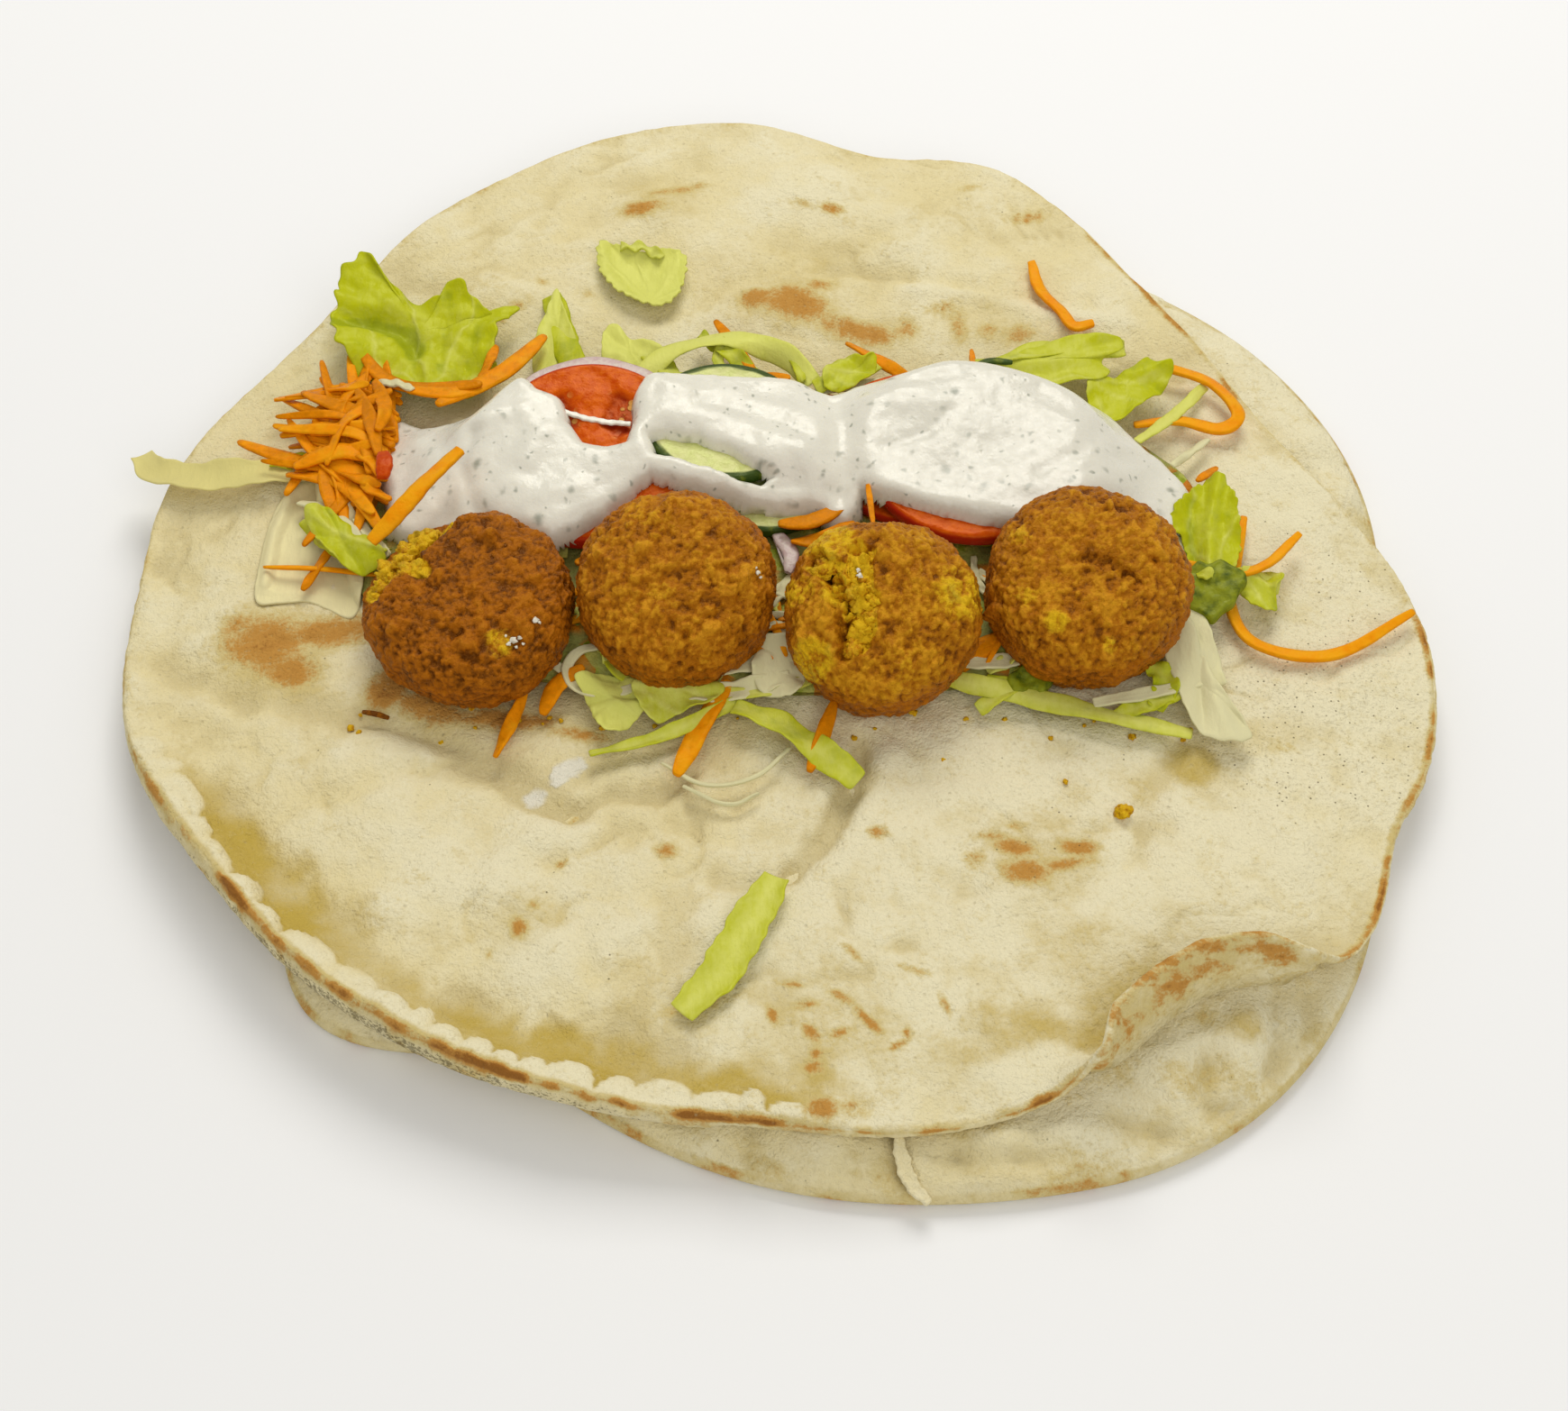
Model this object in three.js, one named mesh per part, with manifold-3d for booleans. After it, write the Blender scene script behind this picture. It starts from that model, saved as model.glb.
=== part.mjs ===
import * as THREE from 'three';
import { mergeVertices } from 'three/addons/utils/BufferGeometryUtils.js';
import Module from 'manifold-3d';

// An open falafel wrap. A large flatbread lies on a second, thicker one. Across its middle runs a
// low heap of shredded salad with slices of tomato, cucumber and onion, a yogurt sauce spread over
// them, and a row of four falafels. Lettuce leaves and carrot shreds lie round the heap.
//
// Millimetres, +Z up. The origin is on the flat underside, below the middle of the bread. The heap
// runs along X, and the falafels are on its -Y side. Angles are degrees from +X towards +Y.

const GAP = 0.3; // clearance between pieces that touch

// The lower bread. Its outline is a circle with lobes of [angle, width, extra radius].
const LOWER = { radius: 138, top: 10.5, edge: 3.4, round: 22, puff: 14, underside: 0.93 };
const LOWER_LOBES = [[301, 106, 36], [262, 60, 10], [231, 34, 18], [14, 74, 7], [56, 50, -4]];

// The upper bread, a sheet that droops past the lower one and curls up along its front rim.
const UPPER = { radius: 151, sheet: 3.2, droop: 2.6, rim: 1.2, clear: 0.4, clearRim: 0.9 };
const UPPER_LOBES = [
  [33, 90, -26], [12, 50, -7], [80, 30, -8], [102, 50, 5], [148, 56, -10], [200, 40, 5],
  [230, 80, 3], [283, 36, 4.5], [304, 26, -6], [319, 26, 11], [336, 40, 6],
];
// Stretches of rim that stand up: angle, width, rise of the top and of the underside, and how far
// in they start. The first is a puffed rim, the second a lip that lifts off the lower bread.
const CURLS = [
  { at: 229, width: 112, top: 7, under: 1.5, reach: 17 },
  { at: 303, width: 38, top: 12, under: 12, reach: 16 },
];
const PUFFS = [ // blisters of the upper bread: [x, y, radius, height]
  [-83, -76, 20, 2.2], [-64, -95, 18, 1.8], [-47, -113, 18, 1.6], [55, -99, 26, 1.8], [0, 81, 22, 2],
  [54, 91, 18, 1.6], [-71, 81, 20, 1.4], [-94, 107, 18, 1.2], [86, 84, 20, 1.2], [3, 128, 20, 1.4],
  [-35, 118, 16, 1.4], [31, 107, 16, 1.4], [125, -40, 24, 1.4], [-130, -20, 18, 1.4],
];
const CREASES = [ // grooves of the upper bread: from, to, width and depth
  { from: [-126, -46], to: [-61, -71], width: 12, depth: 1.6 },
  { from: [-61, -71], to: [-26, -72], width: 12, depth: 1.6 },
  { from: [19, -64], to: [2, -97], width: 12, depth: 1.7 },
];
const BREAD_MIDDLE = [8, -9];

// The heap of salad: its middle, half length, half depth and height, with a boxy outline.
const HEAP = { middle: [0, 2], half: [103, 47], bottom: 15.3, top: 21, box: 2.6 };

// Falafels from left to right: centre, diameter, thickness, lean towards -Y in degrees, and wounds,
// which are broken grooves in the crust: [from, to] off the centre, width and depth.
const FALAFELS = [
  { at: [-71, -27.5, 26], across: 48, thick: 20, lean: 8,
    wounds: [{ from: [-22, 10], to: [-9, 17], width: 13, depth: 4.5 }] },
  { at: [-24, -24.6, 29], across: 45.5, thick: 26, lean: 23, wounds: [] },
  { at: [22.5, -32.6, 29.2], across: 44.5, thick: 26, lean: 25,
    wounds: [{ from: [-13, 13], to: [-4, -10], width: 7, depth: 4.5 },
      { from: [-4, 2], to: [-2, -14], width: 6, depth: 3 }] },
  { at: [69.5, -23.6, 28.8], across: 47, thick: 24, lean: 19, wounds: [] },
];
const CRUST_FORM = { box: 3, crag: 0.75, lobes: 0.015 }; // squareness, roughness, unevenness

// Round slices: centre, radius, thickness and slope along X and Y.
const SLICES = {
  tomato_slice_left: { at: [-46, 18, 27.8], radius: 25, thick: 4, slope: [0.02, 0.14] },
  tomato_slice_right: { at: [45.5, 17, 27.8], radius: 25.4, thick: 3.6, slope: [0, 0.06] },
  tomato_slice_back: { at: [33, 24, 23.4], radius: 24, thick: 3, slope: [0.02, 0.03] },
  cucumber_slice_back: { at: [-13, 29, 27.8], radius: 20, thick: 3, slope: [0, -0.06] },
  cucumber_slice_front: { at: [-4, 14.5, 24], radius: 17.6, thick: 2.6, slope: [0, 0.05] },
};
const SMALL_PIECES = { // cut pieces at the right end of the heap and below the falafels
  cucumber_piece_right: { at: [99, -18, 21.6], radius: 7.2, thick: 3, slope: [0.1, 0.2] },
  cucumber_piece_low: { at: [56, -43.5, 18.6], radius: 4.6, thick: 2.4, slope: [0, 0.25] },
};

// The sauce: its front and back edge as [x, y] from left to right, and its thickness.
const SAUCE_FRONT = [
  [-100, 26], [-96, 1], [-82, 1], [-66, -3], [-52, -7], [-38, -5], [-15, 5], [8, 5], [14, 4], [20, 9],
  [34, 3], [47, 1], [77, 6], [92, 7], [100, 16],
];
const SAUCE_BACK = [
  [-100, 26], [-98, 50], [-86, 47], [-66, 45], [-60, 36], [-53, 27], [-46, 18], [-37, 17], [-34, 25],
  [-31, 37], [-28, 45], [14, 44], [43, 47], [63, 49], [82, 38], [94, 28], [100, 16],
];
const SAUCE = { thick: 4.2, lip: 0.9, swirl: 0.7, clear: 0.9, past: 3, drape: 9 };
const CUCUMBER_WINDOW = { at: [-17, 14], half: [15.5, 3.6], turn: -17 };

// Shreds lie bowed between two ends: from, to, sideways bulge, width.
const CARROT_THICK = 1.7;
const CARROT_BUNDLE = { middle: [-104, 27], half: [9, 26], bottom: 15.3, top: 21.5, box: 2 };
const BUNDLE_SHREDS = [
  { from: [-94, -4, 20], to: [-135, 36, 17.4], bow: -6, width: 3.2 },
  { from: [-103, 31, 22], to: [-124, 45, 18], bow: 0.6, width: 1.9 },
  { from: [-101, 43, 21.5], to: [-118, 46, 18.5], bow: 0.2, width: 2 },
  { from: [-76, 48, 24], to: [-105, 48, 20.5], bow: 4.5, width: 2.8 },
  { from: [-104, 44, 22], to: [-97, 15, 24], bow: -0.6, width: 2.6 },
  { from: [-101, 38, 21.5], to: [-114, 39, 20], bow: 0.2, width: 2 },
  { from: [-98, 24, 22.5], to: [-120, 28, 17.5], bow: -2.4, width: 1.9 },
  { from: [-100, 22, 23.5], to: [-111, 20, 19.5], bow: -0.7, width: 2.2 },
  { from: [-110, 17, 19], to: [-97, 9, 22.5], bow: -0.7, width: 2.2 },
  { from: [-107, 35, 21], to: [-98, 55, 20], bow: 1.5, width: 2.4 },
];
const HEAP_CARROTS = [
  { from: [-44, -31, 17.4], to: [-53, -50, 16.2], bow: -1.2, width: 3.3 },
  { from: [-53, -30, 17], to: [-64, -63, 15.8], bow: -0.5, width: 2.6 },
  { from: [-13, -34, 19], to: [-23, -67, 17.4], bow: -0.3, width: 4.1 },
  { from: [13, -36, 18.6], to: [5, -66, 16.8], bow: -0.4, width: 2.8 },
  { from: [50, -32, 18.6], to: [36, -41, 17.8], bow: -0.5, width: 2.9 },
  { from: [36, 38, 19.6], to: [17, 65, 17.4], bow: 1, width: 2.4 },
  { from: [-4, 40, 19.8], to: [-16, 71, 17.6], bow: -0.4, width: 2.2 },
  { from: [47, 38, 19.6], to: [47, 61, 17.4], bow: 0, width: 1.6 },
  { from: [-80, 28, 19.6], to: [-59, 64, 18.6], bow: 1.8, width: 4.2 },
  { from: [-74, 34, 19.4], to: [-71, 60, 18.2], bow: 0.6, width: 2 },
  { from: [-90, -8, 18.6], to: [-121, -8, 16.4], bow: -0.9, width: 1.5 },
  { from: [-98, 0, 18], to: [-111, -15, 16.4], bow: -0.6, width: 1.9 },
];
const LETTUCE_THICK = 1.4;
const HEAP_LETTUCE = [
  { from: [10, 42, 19.4], to: [-36, 43, 19.4], bow: -21, width: 3.8 },
  { from: [-4, 42, 19.6], to: [-22, 66, 18.4], bow: -0.5, width: 3.2 },
  { from: [6, 41, 19.6], to: [25, 61, 17.6], bow: 1.5, width: 3.8 },
  { from: [34, 39, 19.6], to: [86, 64, 17.4], bow: 3.4, width: 5.8 },
  { from: [68, 30, 19.4], to: [97, 58, 17.4], bow: -0.5, width: 6.6 },
  { from: [82, 26, 18.8], to: [105, 51, 16.8], bow: 0.8, width: 2.8 },
  { from: [-48, 40, 19.4], to: [-59, 84, 16.6], bow: 0.8, width: 10 },
  { from: [-28, 41, 19.4], to: [-45, 71, 16.8], bow: -0.4, width: 8 },
  { from: [8, -30, 18], to: [-42, -61, 16.3], bow: 3.4, width: 2.8 },
  { from: [-14, -34, 18], to: [17, -68, 16.4], bow: 2.4, width: 5 },
  { from: [-10, -32, 17.8], to: [-46, -49, 16.4], bow: 4, width: 7 },
  { from: [32, -32, 18], to: [91, -58, 16.4], bow: 5, width: 3.4 },
  { from: [-88, -8, 18.6], to: [-113, 5, 16.8], bow: 1.8, width: 6 },
  { from: [94, -4, 18.6], to: [117, -15, 16.8], bow: 1.4, width: 6.6 },
];
const CABBAGE_THICK = 1.5;
const HEAP_CABBAGE = [
  { from: [8, -34, 18.2], to: [-36, -43, 16.8], bow: 2, width: 10 },
  { from: [92, -8, 18.6], to: [101, -46, 16.8], bow: -2, width: 4.6 },
  { from: [99, -36, 17.4], to: [71, -48, 16.8], bow: 1.6, width: 2.4 },
  { from: [97, -38, 17.4], to: [103, -57, 16.4], bow: -0.7, width: 8 },
  { from: [-90, -6, 18.8], to: [-117, 14, 17], bow: -3.5, width: 2.6 },
  { from: [-35, -34, 17.4], to: [-47, -36, 16.8], bow: 7, width: 1.8 },
];
const ONIONS = { // parts of onion rings: centre, radius of the ring, first and last angle, width
  onion_ring_left: { at: [-46, 27, 27.4], ring: 21.4, span: [28, 146], width: 2.8, high: 2.6 },
  onion_piece_middle: { at: [-11, -11, 22.6], ring: 13, span: [-14, 48], width: 4, high: 2 },
};

// Loose pieces, each on its own: a curled shred follows a few points, laid by hand.
const LOOSE_CARROTS = {
  carrot_shred_back: { path: [[65, 94], [66, 84], [71, 77], [77, 72]], high: 16.4, width: 2.4 },
  carrot_curl_back: {
    path: [[87, 37], [98, 37], [108, 37], [110, 44], [104, 51], [95, 55]], high: 18.2, width: 2.2,
  },
  carrot_curl_right: {
    path: [[110, 6], [106, -8], [104, -22], [111, -33], [127, -33], [146, -21]], high: 17.4, width: 2,
  },
  carrot_shred_right: { path: [[95, -8], [107, -13], [121, -1]], high: 21.4, width: 1.8 },
};
const CARROT_ON_SAUCE = { from: [-93, -8, 29.5], to: [-75, 11, 35.2], bow: 0.8, width: 3.1 };
const LETTUCE_STRIP_LEFT = { from: [-118, 21, 17.6], to: [-157, 27, 12.4], bow: 5.5, width: 6.5 };
const LETTUCE_STRIP_FRONT = { from: [-2, -96, 16.6], to: [-20, -126, 16.4], bow: -1, width: 8 };

// Leaves: middle, length, width, turn of the length, and how deep the edges ruffle.
const LEAVES = {
  lettuce_leaf_left: {
    at: [-92, 66, 22], size: [42, 34], turn: -8, thick: 1.4, ruffle: 3.2, waves: 2.5, dish: 3,
  },
  lettuce_leaf_back: {
    at: [-37, 90, 17.4], size: [23, 18], turn: -12, thick: 1.6, ruffle: 1, waves: 1, dish: 2,
  },
  lettuce_leaf_right: {
    at: [100, 3, 21], size: [22, 13], turn: -66, thick: 1.3, ruffle: 2.2, waves: 1.5, dish: 2.4,
  },
  pale_leaf_left: {
    at: [-116, -2, 16.8], size: [40, 15], turn: 102, thick: 1, ruffle: 0.7, waves: 1.5, dish: 0.8,
  },
};

const material = (color, roughness) => new THREE.MeshStandardMaterial({ color, roughness, metalness: 0 });
const BREAD = material('#e3d9b4', 0.85);
const CRUST = material('#9a611e', 0.8);
const GREEN = material('#a9be3a', 0.45);
const PALE_GREEN = material('#d5d9a0', 0.4);
const CARROT = material('#e8860e', 0.45);
const TOMATO = material('#c5381a', 0.25);
const CUCUMBER = material('#b9c479', 0.3);
const ONION = material('#d8bfc8', 0.3);
const SAUCE_WHITE = material('#edeae0', 0.3);

const { PI, abs, atan2, cos, hypot, max, min, sign, sin, sqrt } = Math;
const radians = THREE.MathUtils.degToRad;
const degrees = THREE.MathUtils.radToDeg;
const lerp = THREE.MathUtils.lerp;
const clamp = (value) => min(1, max(0, value));
const smooth = (value) => THREE.MathUtils.smoothstep(value, 0, 1);
const arch = (value) => sqrt(1 - (1 - clamp(value)) ** 2);

const wasm = await Module();
wasm.setup();

// Repeatable random numbers from 0 to 1.
function dice(seed) {
  let state = seed;
  return () => {
    state = (state * 16807) % 2147483647;
    return state / 2147483647;
  };
}

// --- Shape tools ---------------------------------------------------------------------------------

// Moves each shared vertex of a geometry to where `place` puts it.
function sculpt(geometry, place) {
  geometry.deleteAttribute('normal');
  geometry.deleteAttribute('uv');
  const shape = mergeVertices(geometry);
  const spot = new THREE.Vector3();
  const { position } = shape.attributes;
  for (let i = 0; i < position.count; i++) {
    place(spot.fromBufferAttribute(position, i));
    position.setXYZ(i, spot.x, spot.y, spot.z);
  }
  return shape;
}

// A copy of a geometry whose faces lie about the gap further out.
function swollen(geometry) {
  const copy = geometry.clone();
  copy.computeVertexNormals();
  const { position, normal } = copy.attributes;
  const reach = 1.5 * GAP;
  for (let i = 0; i < position.count; i++) {
    position.setXYZ(
      i,
      position.getX(i) + reach * normal.getX(i),
      position.getY(i) + reach * normal.getY(i),
      position.getZ(i) + reach * normal.getZ(i),
    );
  }
  return copy;
}

function solid(geometry) {
  const triVerts = [];
  const { index, attributes } = geometry;
  for (let i = 0; i < index.count; i += 3) {
    const corners = [index.getX(i), index.getX(i + 1), index.getX(i + 2)];
    if (new Set(corners).size === 3) triVerts.push(...corners);
  }
  const vertProperties = new Float32Array(attributes.position.array);
  const mesh = new wasm.Mesh({ numProp: 3, vertProperties, triVerts: new Uint32Array(triVerts) });
  return new wasm.Manifold(mesh);
}

const carve = (body, others) => others.reduce((rest, other) => rest.subtract(other), body);
const join = (body, others) => others.reduce((whole, other) => whole.add(other), body);

// The largest of the bodies that cutting left.
function largest(body) {
  return body.decompose().sort((a, b) => b.volume() - a.volume())[0];
}

function meshOf(name, body, look) {
  const { vertProperties, triVerts } = body.getMesh();
  const geometry = new THREE.BufferGeometry();
  geometry.setAttribute('position', new THREE.BufferAttribute(vertProperties, 3));
  geometry.setIndex(new THREE.BufferAttribute(triVerts, 1));
  geometry.computeVertexNormals();
  const mesh = new THREE.Mesh(geometry, look);
  mesh.name = name;
  return mesh;
}

// A round body: a closed profile of [radius, height] turned about Z, then sculpted.
function turned(profile, sectors, place) {
  const points = profile.map(([radius, height]) => new THREE.Vector2(radius, height));
  return sculpt(new THREE.LatheGeometry(points, sectors).rotateX(PI / 2), place);
}

// A thin slab over a grid. `place(u, v, side)` gives each vertex, with u and v from 0 to 1 and side
// 1 above and -1 below. Both faces are split into triangles alike, and a band closes the rim.
function slab(columns, rows, place) {
  const vertices = [];
  const index = [];
  const count = (columns + 1) * (rows + 1);
  const at = (i, j) => j * (columns + 1) + i;
  for (const side of [1, -1]) {
    for (let j = 0; j <= rows; j++) {
      for (let i = 0; i <= columns; i++) vertices.push(...place(i / columns, j / rows, side));
    }
  }
  for (let j = 0; j < rows; j++) {
    for (let i = 0; i < columns; i++) {
      const [a, b, c, d] = [at(i, j), at(i + 1, j), at(i + 1, j + 1), at(i, j + 1)];
      index.push(a, b, c, a, c, d, count + a, count + c, count + b, count + a, count + d, count + c);
    }
  }
  const rim = [];
  for (let i = 0; i < columns; i++) rim.push([at(i, 0), at(i + 1, 0)], [at(i + 1, rows), at(i, rows)]);
  for (let j = 0; j < rows; j++) rim.push([at(columns, j), at(columns, j + 1)], [at(0, j + 1), at(0, j)]);
  for (const [a, b] of rim) index.push(a, count + a, b, b, count + a, count + b);
  const geometry = new THREE.BufferGeometry();
  geometry.setAttribute('position', new THREE.Float32BufferAttribute(vertices, 3));
  geometry.setIndex(index);
  return mergeVertices(geometry);
}

// --- Bread ---------------------------------------------------------------------------------------

// A cosine bump round an angle, 1 in its middle and 0 at half its width.
function lobe(angle, at, width) {
  const off = abs(((angle - at + 540) % 360) - 180);
  return off < width / 2 ? 0.5 + 0.5 * cos((2 * PI * off) / width) : 0;
}

const rimOf = (bread, lobes, angle) =>
  lobes.reduce((radius, [at, width, extra]) => radius + extra * lobe(angle, at, width), bread.radius);
const lowerRim = (angle) => rimOf(LOWER, LOWER_LOBES, angle);
const upperRim = (angle) => rimOf(UPPER, UPPER_LOBES, angle);

function lowerTop(x, y) {
  const angle = degrees(atan2(y, x));
  const inward = lowerRim(angle) - hypot(x, y);
  const round = LOWER.round + LOWER.puff * lobe(angle, 302, 90);
  return lerp(LOWER.edge, LOWER.top, arch(inward / round));
}

// What the upper bread lies on: the lower one, with some clearance, and a droop past its rim.
function bearing(x, y) {
  const angle = degrees(atan2(y, x));
  const radius = hypot(x, y);
  const rim = upperRim(angle);
  const bend = min(rim, lowerRim(angle)) - LOWER.round;
  const droop = UPPER.droop * smooth((radius - bend) / (rim - bend));
  const clearance = lerp(UPPER.clear, UPPER.clearRim, smooth((2 * radius) / rim - 1));
  return max(LOWER.top - droop, lowerTop(x, y)) + clearance;
}

function curl(x, y, face) {
  const angle = degrees(atan2(y, x));
  const inward = upperRim(angle) - hypot(x, y);
  const rises = CURLS.map((c) => c[face] * lobe(angle, c.at, c.width) * smooth(1 - inward / c.reach));
  return rises[0] + rises[1];
}

const upperUnderside = (x, y) => bearing(x, y) + curl(x, y, 'under');

function fromSegment(x, y, [x0, y0], [x1, y1]) {
  const along = clamp(((x - x0) * (x1 - x0) + (y - y0) * (y1 - y0)) / ((x1 - x0) ** 2 + (y1 - y0) ** 2));
  return hypot(x - lerp(x0, x1, along), y - lerp(y0, y1, along));
}

function relief(x, y) {
  let height = 0.35 * sin(x / 9 + 1) * cos(y / 11);
  for (const [px, py, radius, rise] of PUFFS) height += rise * smooth(1 - hypot(x - px, y - py) / radius);
  for (const { from, to, width, depth } of CREASES) {
    height -= depth * smooth(1 - fromSegment(x, y, from, to) / width);
  }
  return height;
}

const upperTop = (x, y) => bearing(x, y) + curl(x, y, 'top') + UPPER.sheet + relief(x, y);

// Carries a vertex of a unit disc out to a bread's outline, with the disc's centre off the origin so
// that the origin is inside a face.
function spread(spot, rim) {
  const [cx, cy] = BREAD_MIDDLE;
  const angle = atan2(spot.y, spot.x);
  const radius = hypot(spot.x, spot.y);
  const reach = rim(degrees(angle));
  spot.x = lerp(cx, reach * cos(angle), radius);
  spot.y = lerp(cy, reach * sin(angle), radius);
}

function lowerBread() {
  const flat = LOWER.underside;
  const profile = [[0, -1], [0.4, -1], [flat, -1], [1, 0], [0.985, 1], [0.95, 1], [0.9, 1], [0.84, 1], [0.6, 1], [0, 1]];
  return turned(profile, 52, (spot) => {
    const level = spot.z;
    spread(spot, lowerRim);
    if (level < 0) spot.z = 0;
    else if (level === 0) spot.z = LOWER.edge;
    else spot.z = lowerTop(spot.x, spot.y);
  });
}

function upperBread() {
  const below = [0, 0.3, 0.6, 0.8, 0.88, 0.94, 0.992].map((radius) => [radius, -1]);
  const above = [0.985, 0.955, 0.92, 0.88, 0.82, 0.74, 0.64, 0.52, 0.4, 0.22, 0].map((radius) => [radius, 1]);
  return turned([...below, [1, 0], ...above], 62, (spot) => {
    const level = spot.z;
    spread(spot, upperRim);
    if (level < 0) spot.z = upperUnderside(spot.x, spot.y);
    else if (level === 0) spot.z = upperUnderside(spot.x, spot.y) + UPPER.rim;
    else spot.z = upperTop(spot.x, spot.y);
  });
}

// --- Heaps ---------------------------------------------------------------------------------------

const heapRadius = ({ half, box }, angle) =>
  (abs(cos(angle) / half[0]) ** box + abs(sin(angle) / half[1]) ** box) ** (-1 / box);

function heapTop(heap, x, y) {
  const [dx, dy] = [x - heap.middle[0], y - heap.middle[1]];
  const share = hypot(dx, dy) / heapRadius(heap, atan2(dy, dx));
  return lerp(heap.bottom, heap.top, sqrt(max(0, 1 - share ** 7)));
}

function heapCore(heap, sectors, lump, seed) {
  const random = dice(seed);
  const profile = [[0, -1], [1, -1], [0.97, 1], [0.88, 1], [0.72, 1], [0.45, 1], [0, 1]];
  return turned(profile, sectors, (spot) => {
    const level = spot.z;
    const angle = atan2(spot.y, spot.x);
    const radius = hypot(spot.x, spot.y) * heapRadius(heap, angle);
    spot.x = heap.middle[0] + radius * cos(angle);
    spot.y = heap.middle[1] + radius * sin(angle);
    spot.z = level < 0 ? heap.bottom : heapTop(heap, spot.x, spot.y) - lump * random();
  });
}

// A flat ribbon with narrow ends, bowed sideways between two ends.
function shred({ from, to, bow, width }, thick, steps = 3) {
  const start = new THREE.Vector3(...from);
  const end = new THREE.Vector3(...to);
  const across = new THREE.Vector3(start.y - end.y, end.x - start.x, 0).normalize();
  return slab(steps, 1, (u, v, side) => {
    const belly = sin(PI * u);
    const half = (0.5 - v) * width * (0.45 + 0.55 * belly);
    const spot = start.clone().lerp(end, u).addScaledVector(across, bow * belly - half);
    return [spot.x, spot.y, spot.z + (side * thick) / 2];
  });
}

// A ribbon along a smooth line through points at one height.
function curledShred({ path, high, width }, thick, steps) {
  const line = new THREE.CatmullRomCurve3(path.map(([x, y]) => new THREE.Vector3(x, y, high)));
  return slab(steps, 1, (u, v, side) => {
    const spot = line.getPointAt(u);
    const along = line.getTangentAt(u);
    const half = (v - 0.5) * width * (0.5 + 0.5 * sin(PI * u));
    return [spot.x - half * along.y, spot.y + half * along.x, spot.z + (side * thick) / 2];
  });
}

function onionPiece({ at, ring, span, width, high }) {
  return slab(10, 1, (u, v, side) => {
    const angle = radians(lerp(span[0], span[1], u));
    const radius = ring + (0.5 - v) * width * (0.4 + 0.6 * sin(PI * u));
    return [at[0] + radius * cos(angle), at[1] + radius * sin(angle), at[2] + (side * high) / 2];
  });
}

// A dished leaf with an uneven outline and ruffled edges.
function leaf({ at, size, turn, thick, ruffle, waves, dish }, seed) {
  const random = dice(seed);
  const phase = 2 * PI * random();
  return slab(8, 5, (u, v, side) => {
    const [p, q] = [2 * u - 1, 2 * v - 1];
    const ragged = 1 + 0.08 * sin(7 * u + phase) + 0.06 * cos(9 * v + phase);
    const x = (size[0] / 2) * p * sqrt(1 - 0.38 * q * q) * ragged;
    const y = (size[1] / 2) * q * sqrt(1 - 0.38 * p * p) * ragged;
    const edge = max(abs(p), abs(q)) ** 2;
    const wave = ruffle * edge * sin(2 * PI * waves * (u + 0.6 * v) + phase);
    const [c, s] = [cos(radians(turn)), sin(radians(turn))];
    return [
      at[0] + x * c - y * s,
      at[1] + x * s + y * c,
      at[2] + wave + dish * edge + (side * thick) / 2,
    ];
  });
}

// --- Falafels, slices and sauce --------------------------------------------------------------------

function falafel({ at, across, thick, lean, wounds }, seed, detail = 4) {
  const random = dice(seed);
  const { box, crag, lobes } = CRUST_FORM;
  const tilt = new THREE.Matrix4().makeRotationX(radians(lean));
  return sculpt(new THREE.IcosahedronGeometry(1, detail), (spot) => {
    const flat = hypot(spot.x, spot.y);
    const swell = (flat ** box + abs(spot.z) ** box) ** (-1 / box);
    const upper = spot.z > 0.2;
    const lobed = 1 + lobes * sin(3 * atan2(spot.y, spot.x) + seed);
    const bump = crag * (random() - 0.5);
    spot.multiplyScalar(swell);
    spot.set(spot.x * (across / 2) * lobed, spot.y * (across / 2) * lobed, spot.z * (thick / 2));
    spot.addScaledVector(spot.clone().normalize(), bump);
    if (upper) {
      for (const { from, to, width, depth } of wounds) {
        spot.z -= depth * smooth(1 - fromSegment(spot.x, spot.y, from, to) / (width / 2 + 2));
      }
    }
    spot.applyMatrix4(tilt);
    spot.add(new THREE.Vector3(...at));
  });
}

function slice({ at, radius, thick, slope }) {
  const half = thick / 2;
  const profile = [[0, -half], [radius - 0.9, -half], [radius, 0], [radius - 0.9, half], [0, half]];
  return turned(profile, radius > 10 ? 28 : 12, (spot) => {
    const wobble = 1 + 0.015 * sin(2 * atan2(spot.y, spot.x) + at[0]);
    spot.set(spot.x * wobble, spot.y * wobble, spot.z + slope[0] * spot.x + slope[1] * spot.y);
    spot.add(new THREE.Vector3(...at));
  });
}

// The height of what the sauce lies on.
function underSauce(x, y) {
  let height = heapTop(HEAP, x, y);
  for (const { at, radius, thick, slope } of Object.values(SLICES)) {
    const [dx, dy] = [x - at[0], y - at[1]];
    const inside = smooth((radius + SAUCE.past + SAUCE.drape - hypot(dx, dy)) / SAUCE.drape);
    const top = at[2] + thick / 2 + slope[0] * dx + slope[1] * dy;
    height = lerp(height, max(height, top), inside);
  }
  return height;
}

// The y of an edge at x, eased between its key points.
function edgeAt(keys, x) {
  const next = max(1, keys.findIndex(([keyX]) => keyX >= x));
  const [[x0, y0], [x1, y1]] = [keys[next - 1], keys[next]];
  return lerp(y0, y1, smooth((x - x0) / (x1 - x0)));
}

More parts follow.
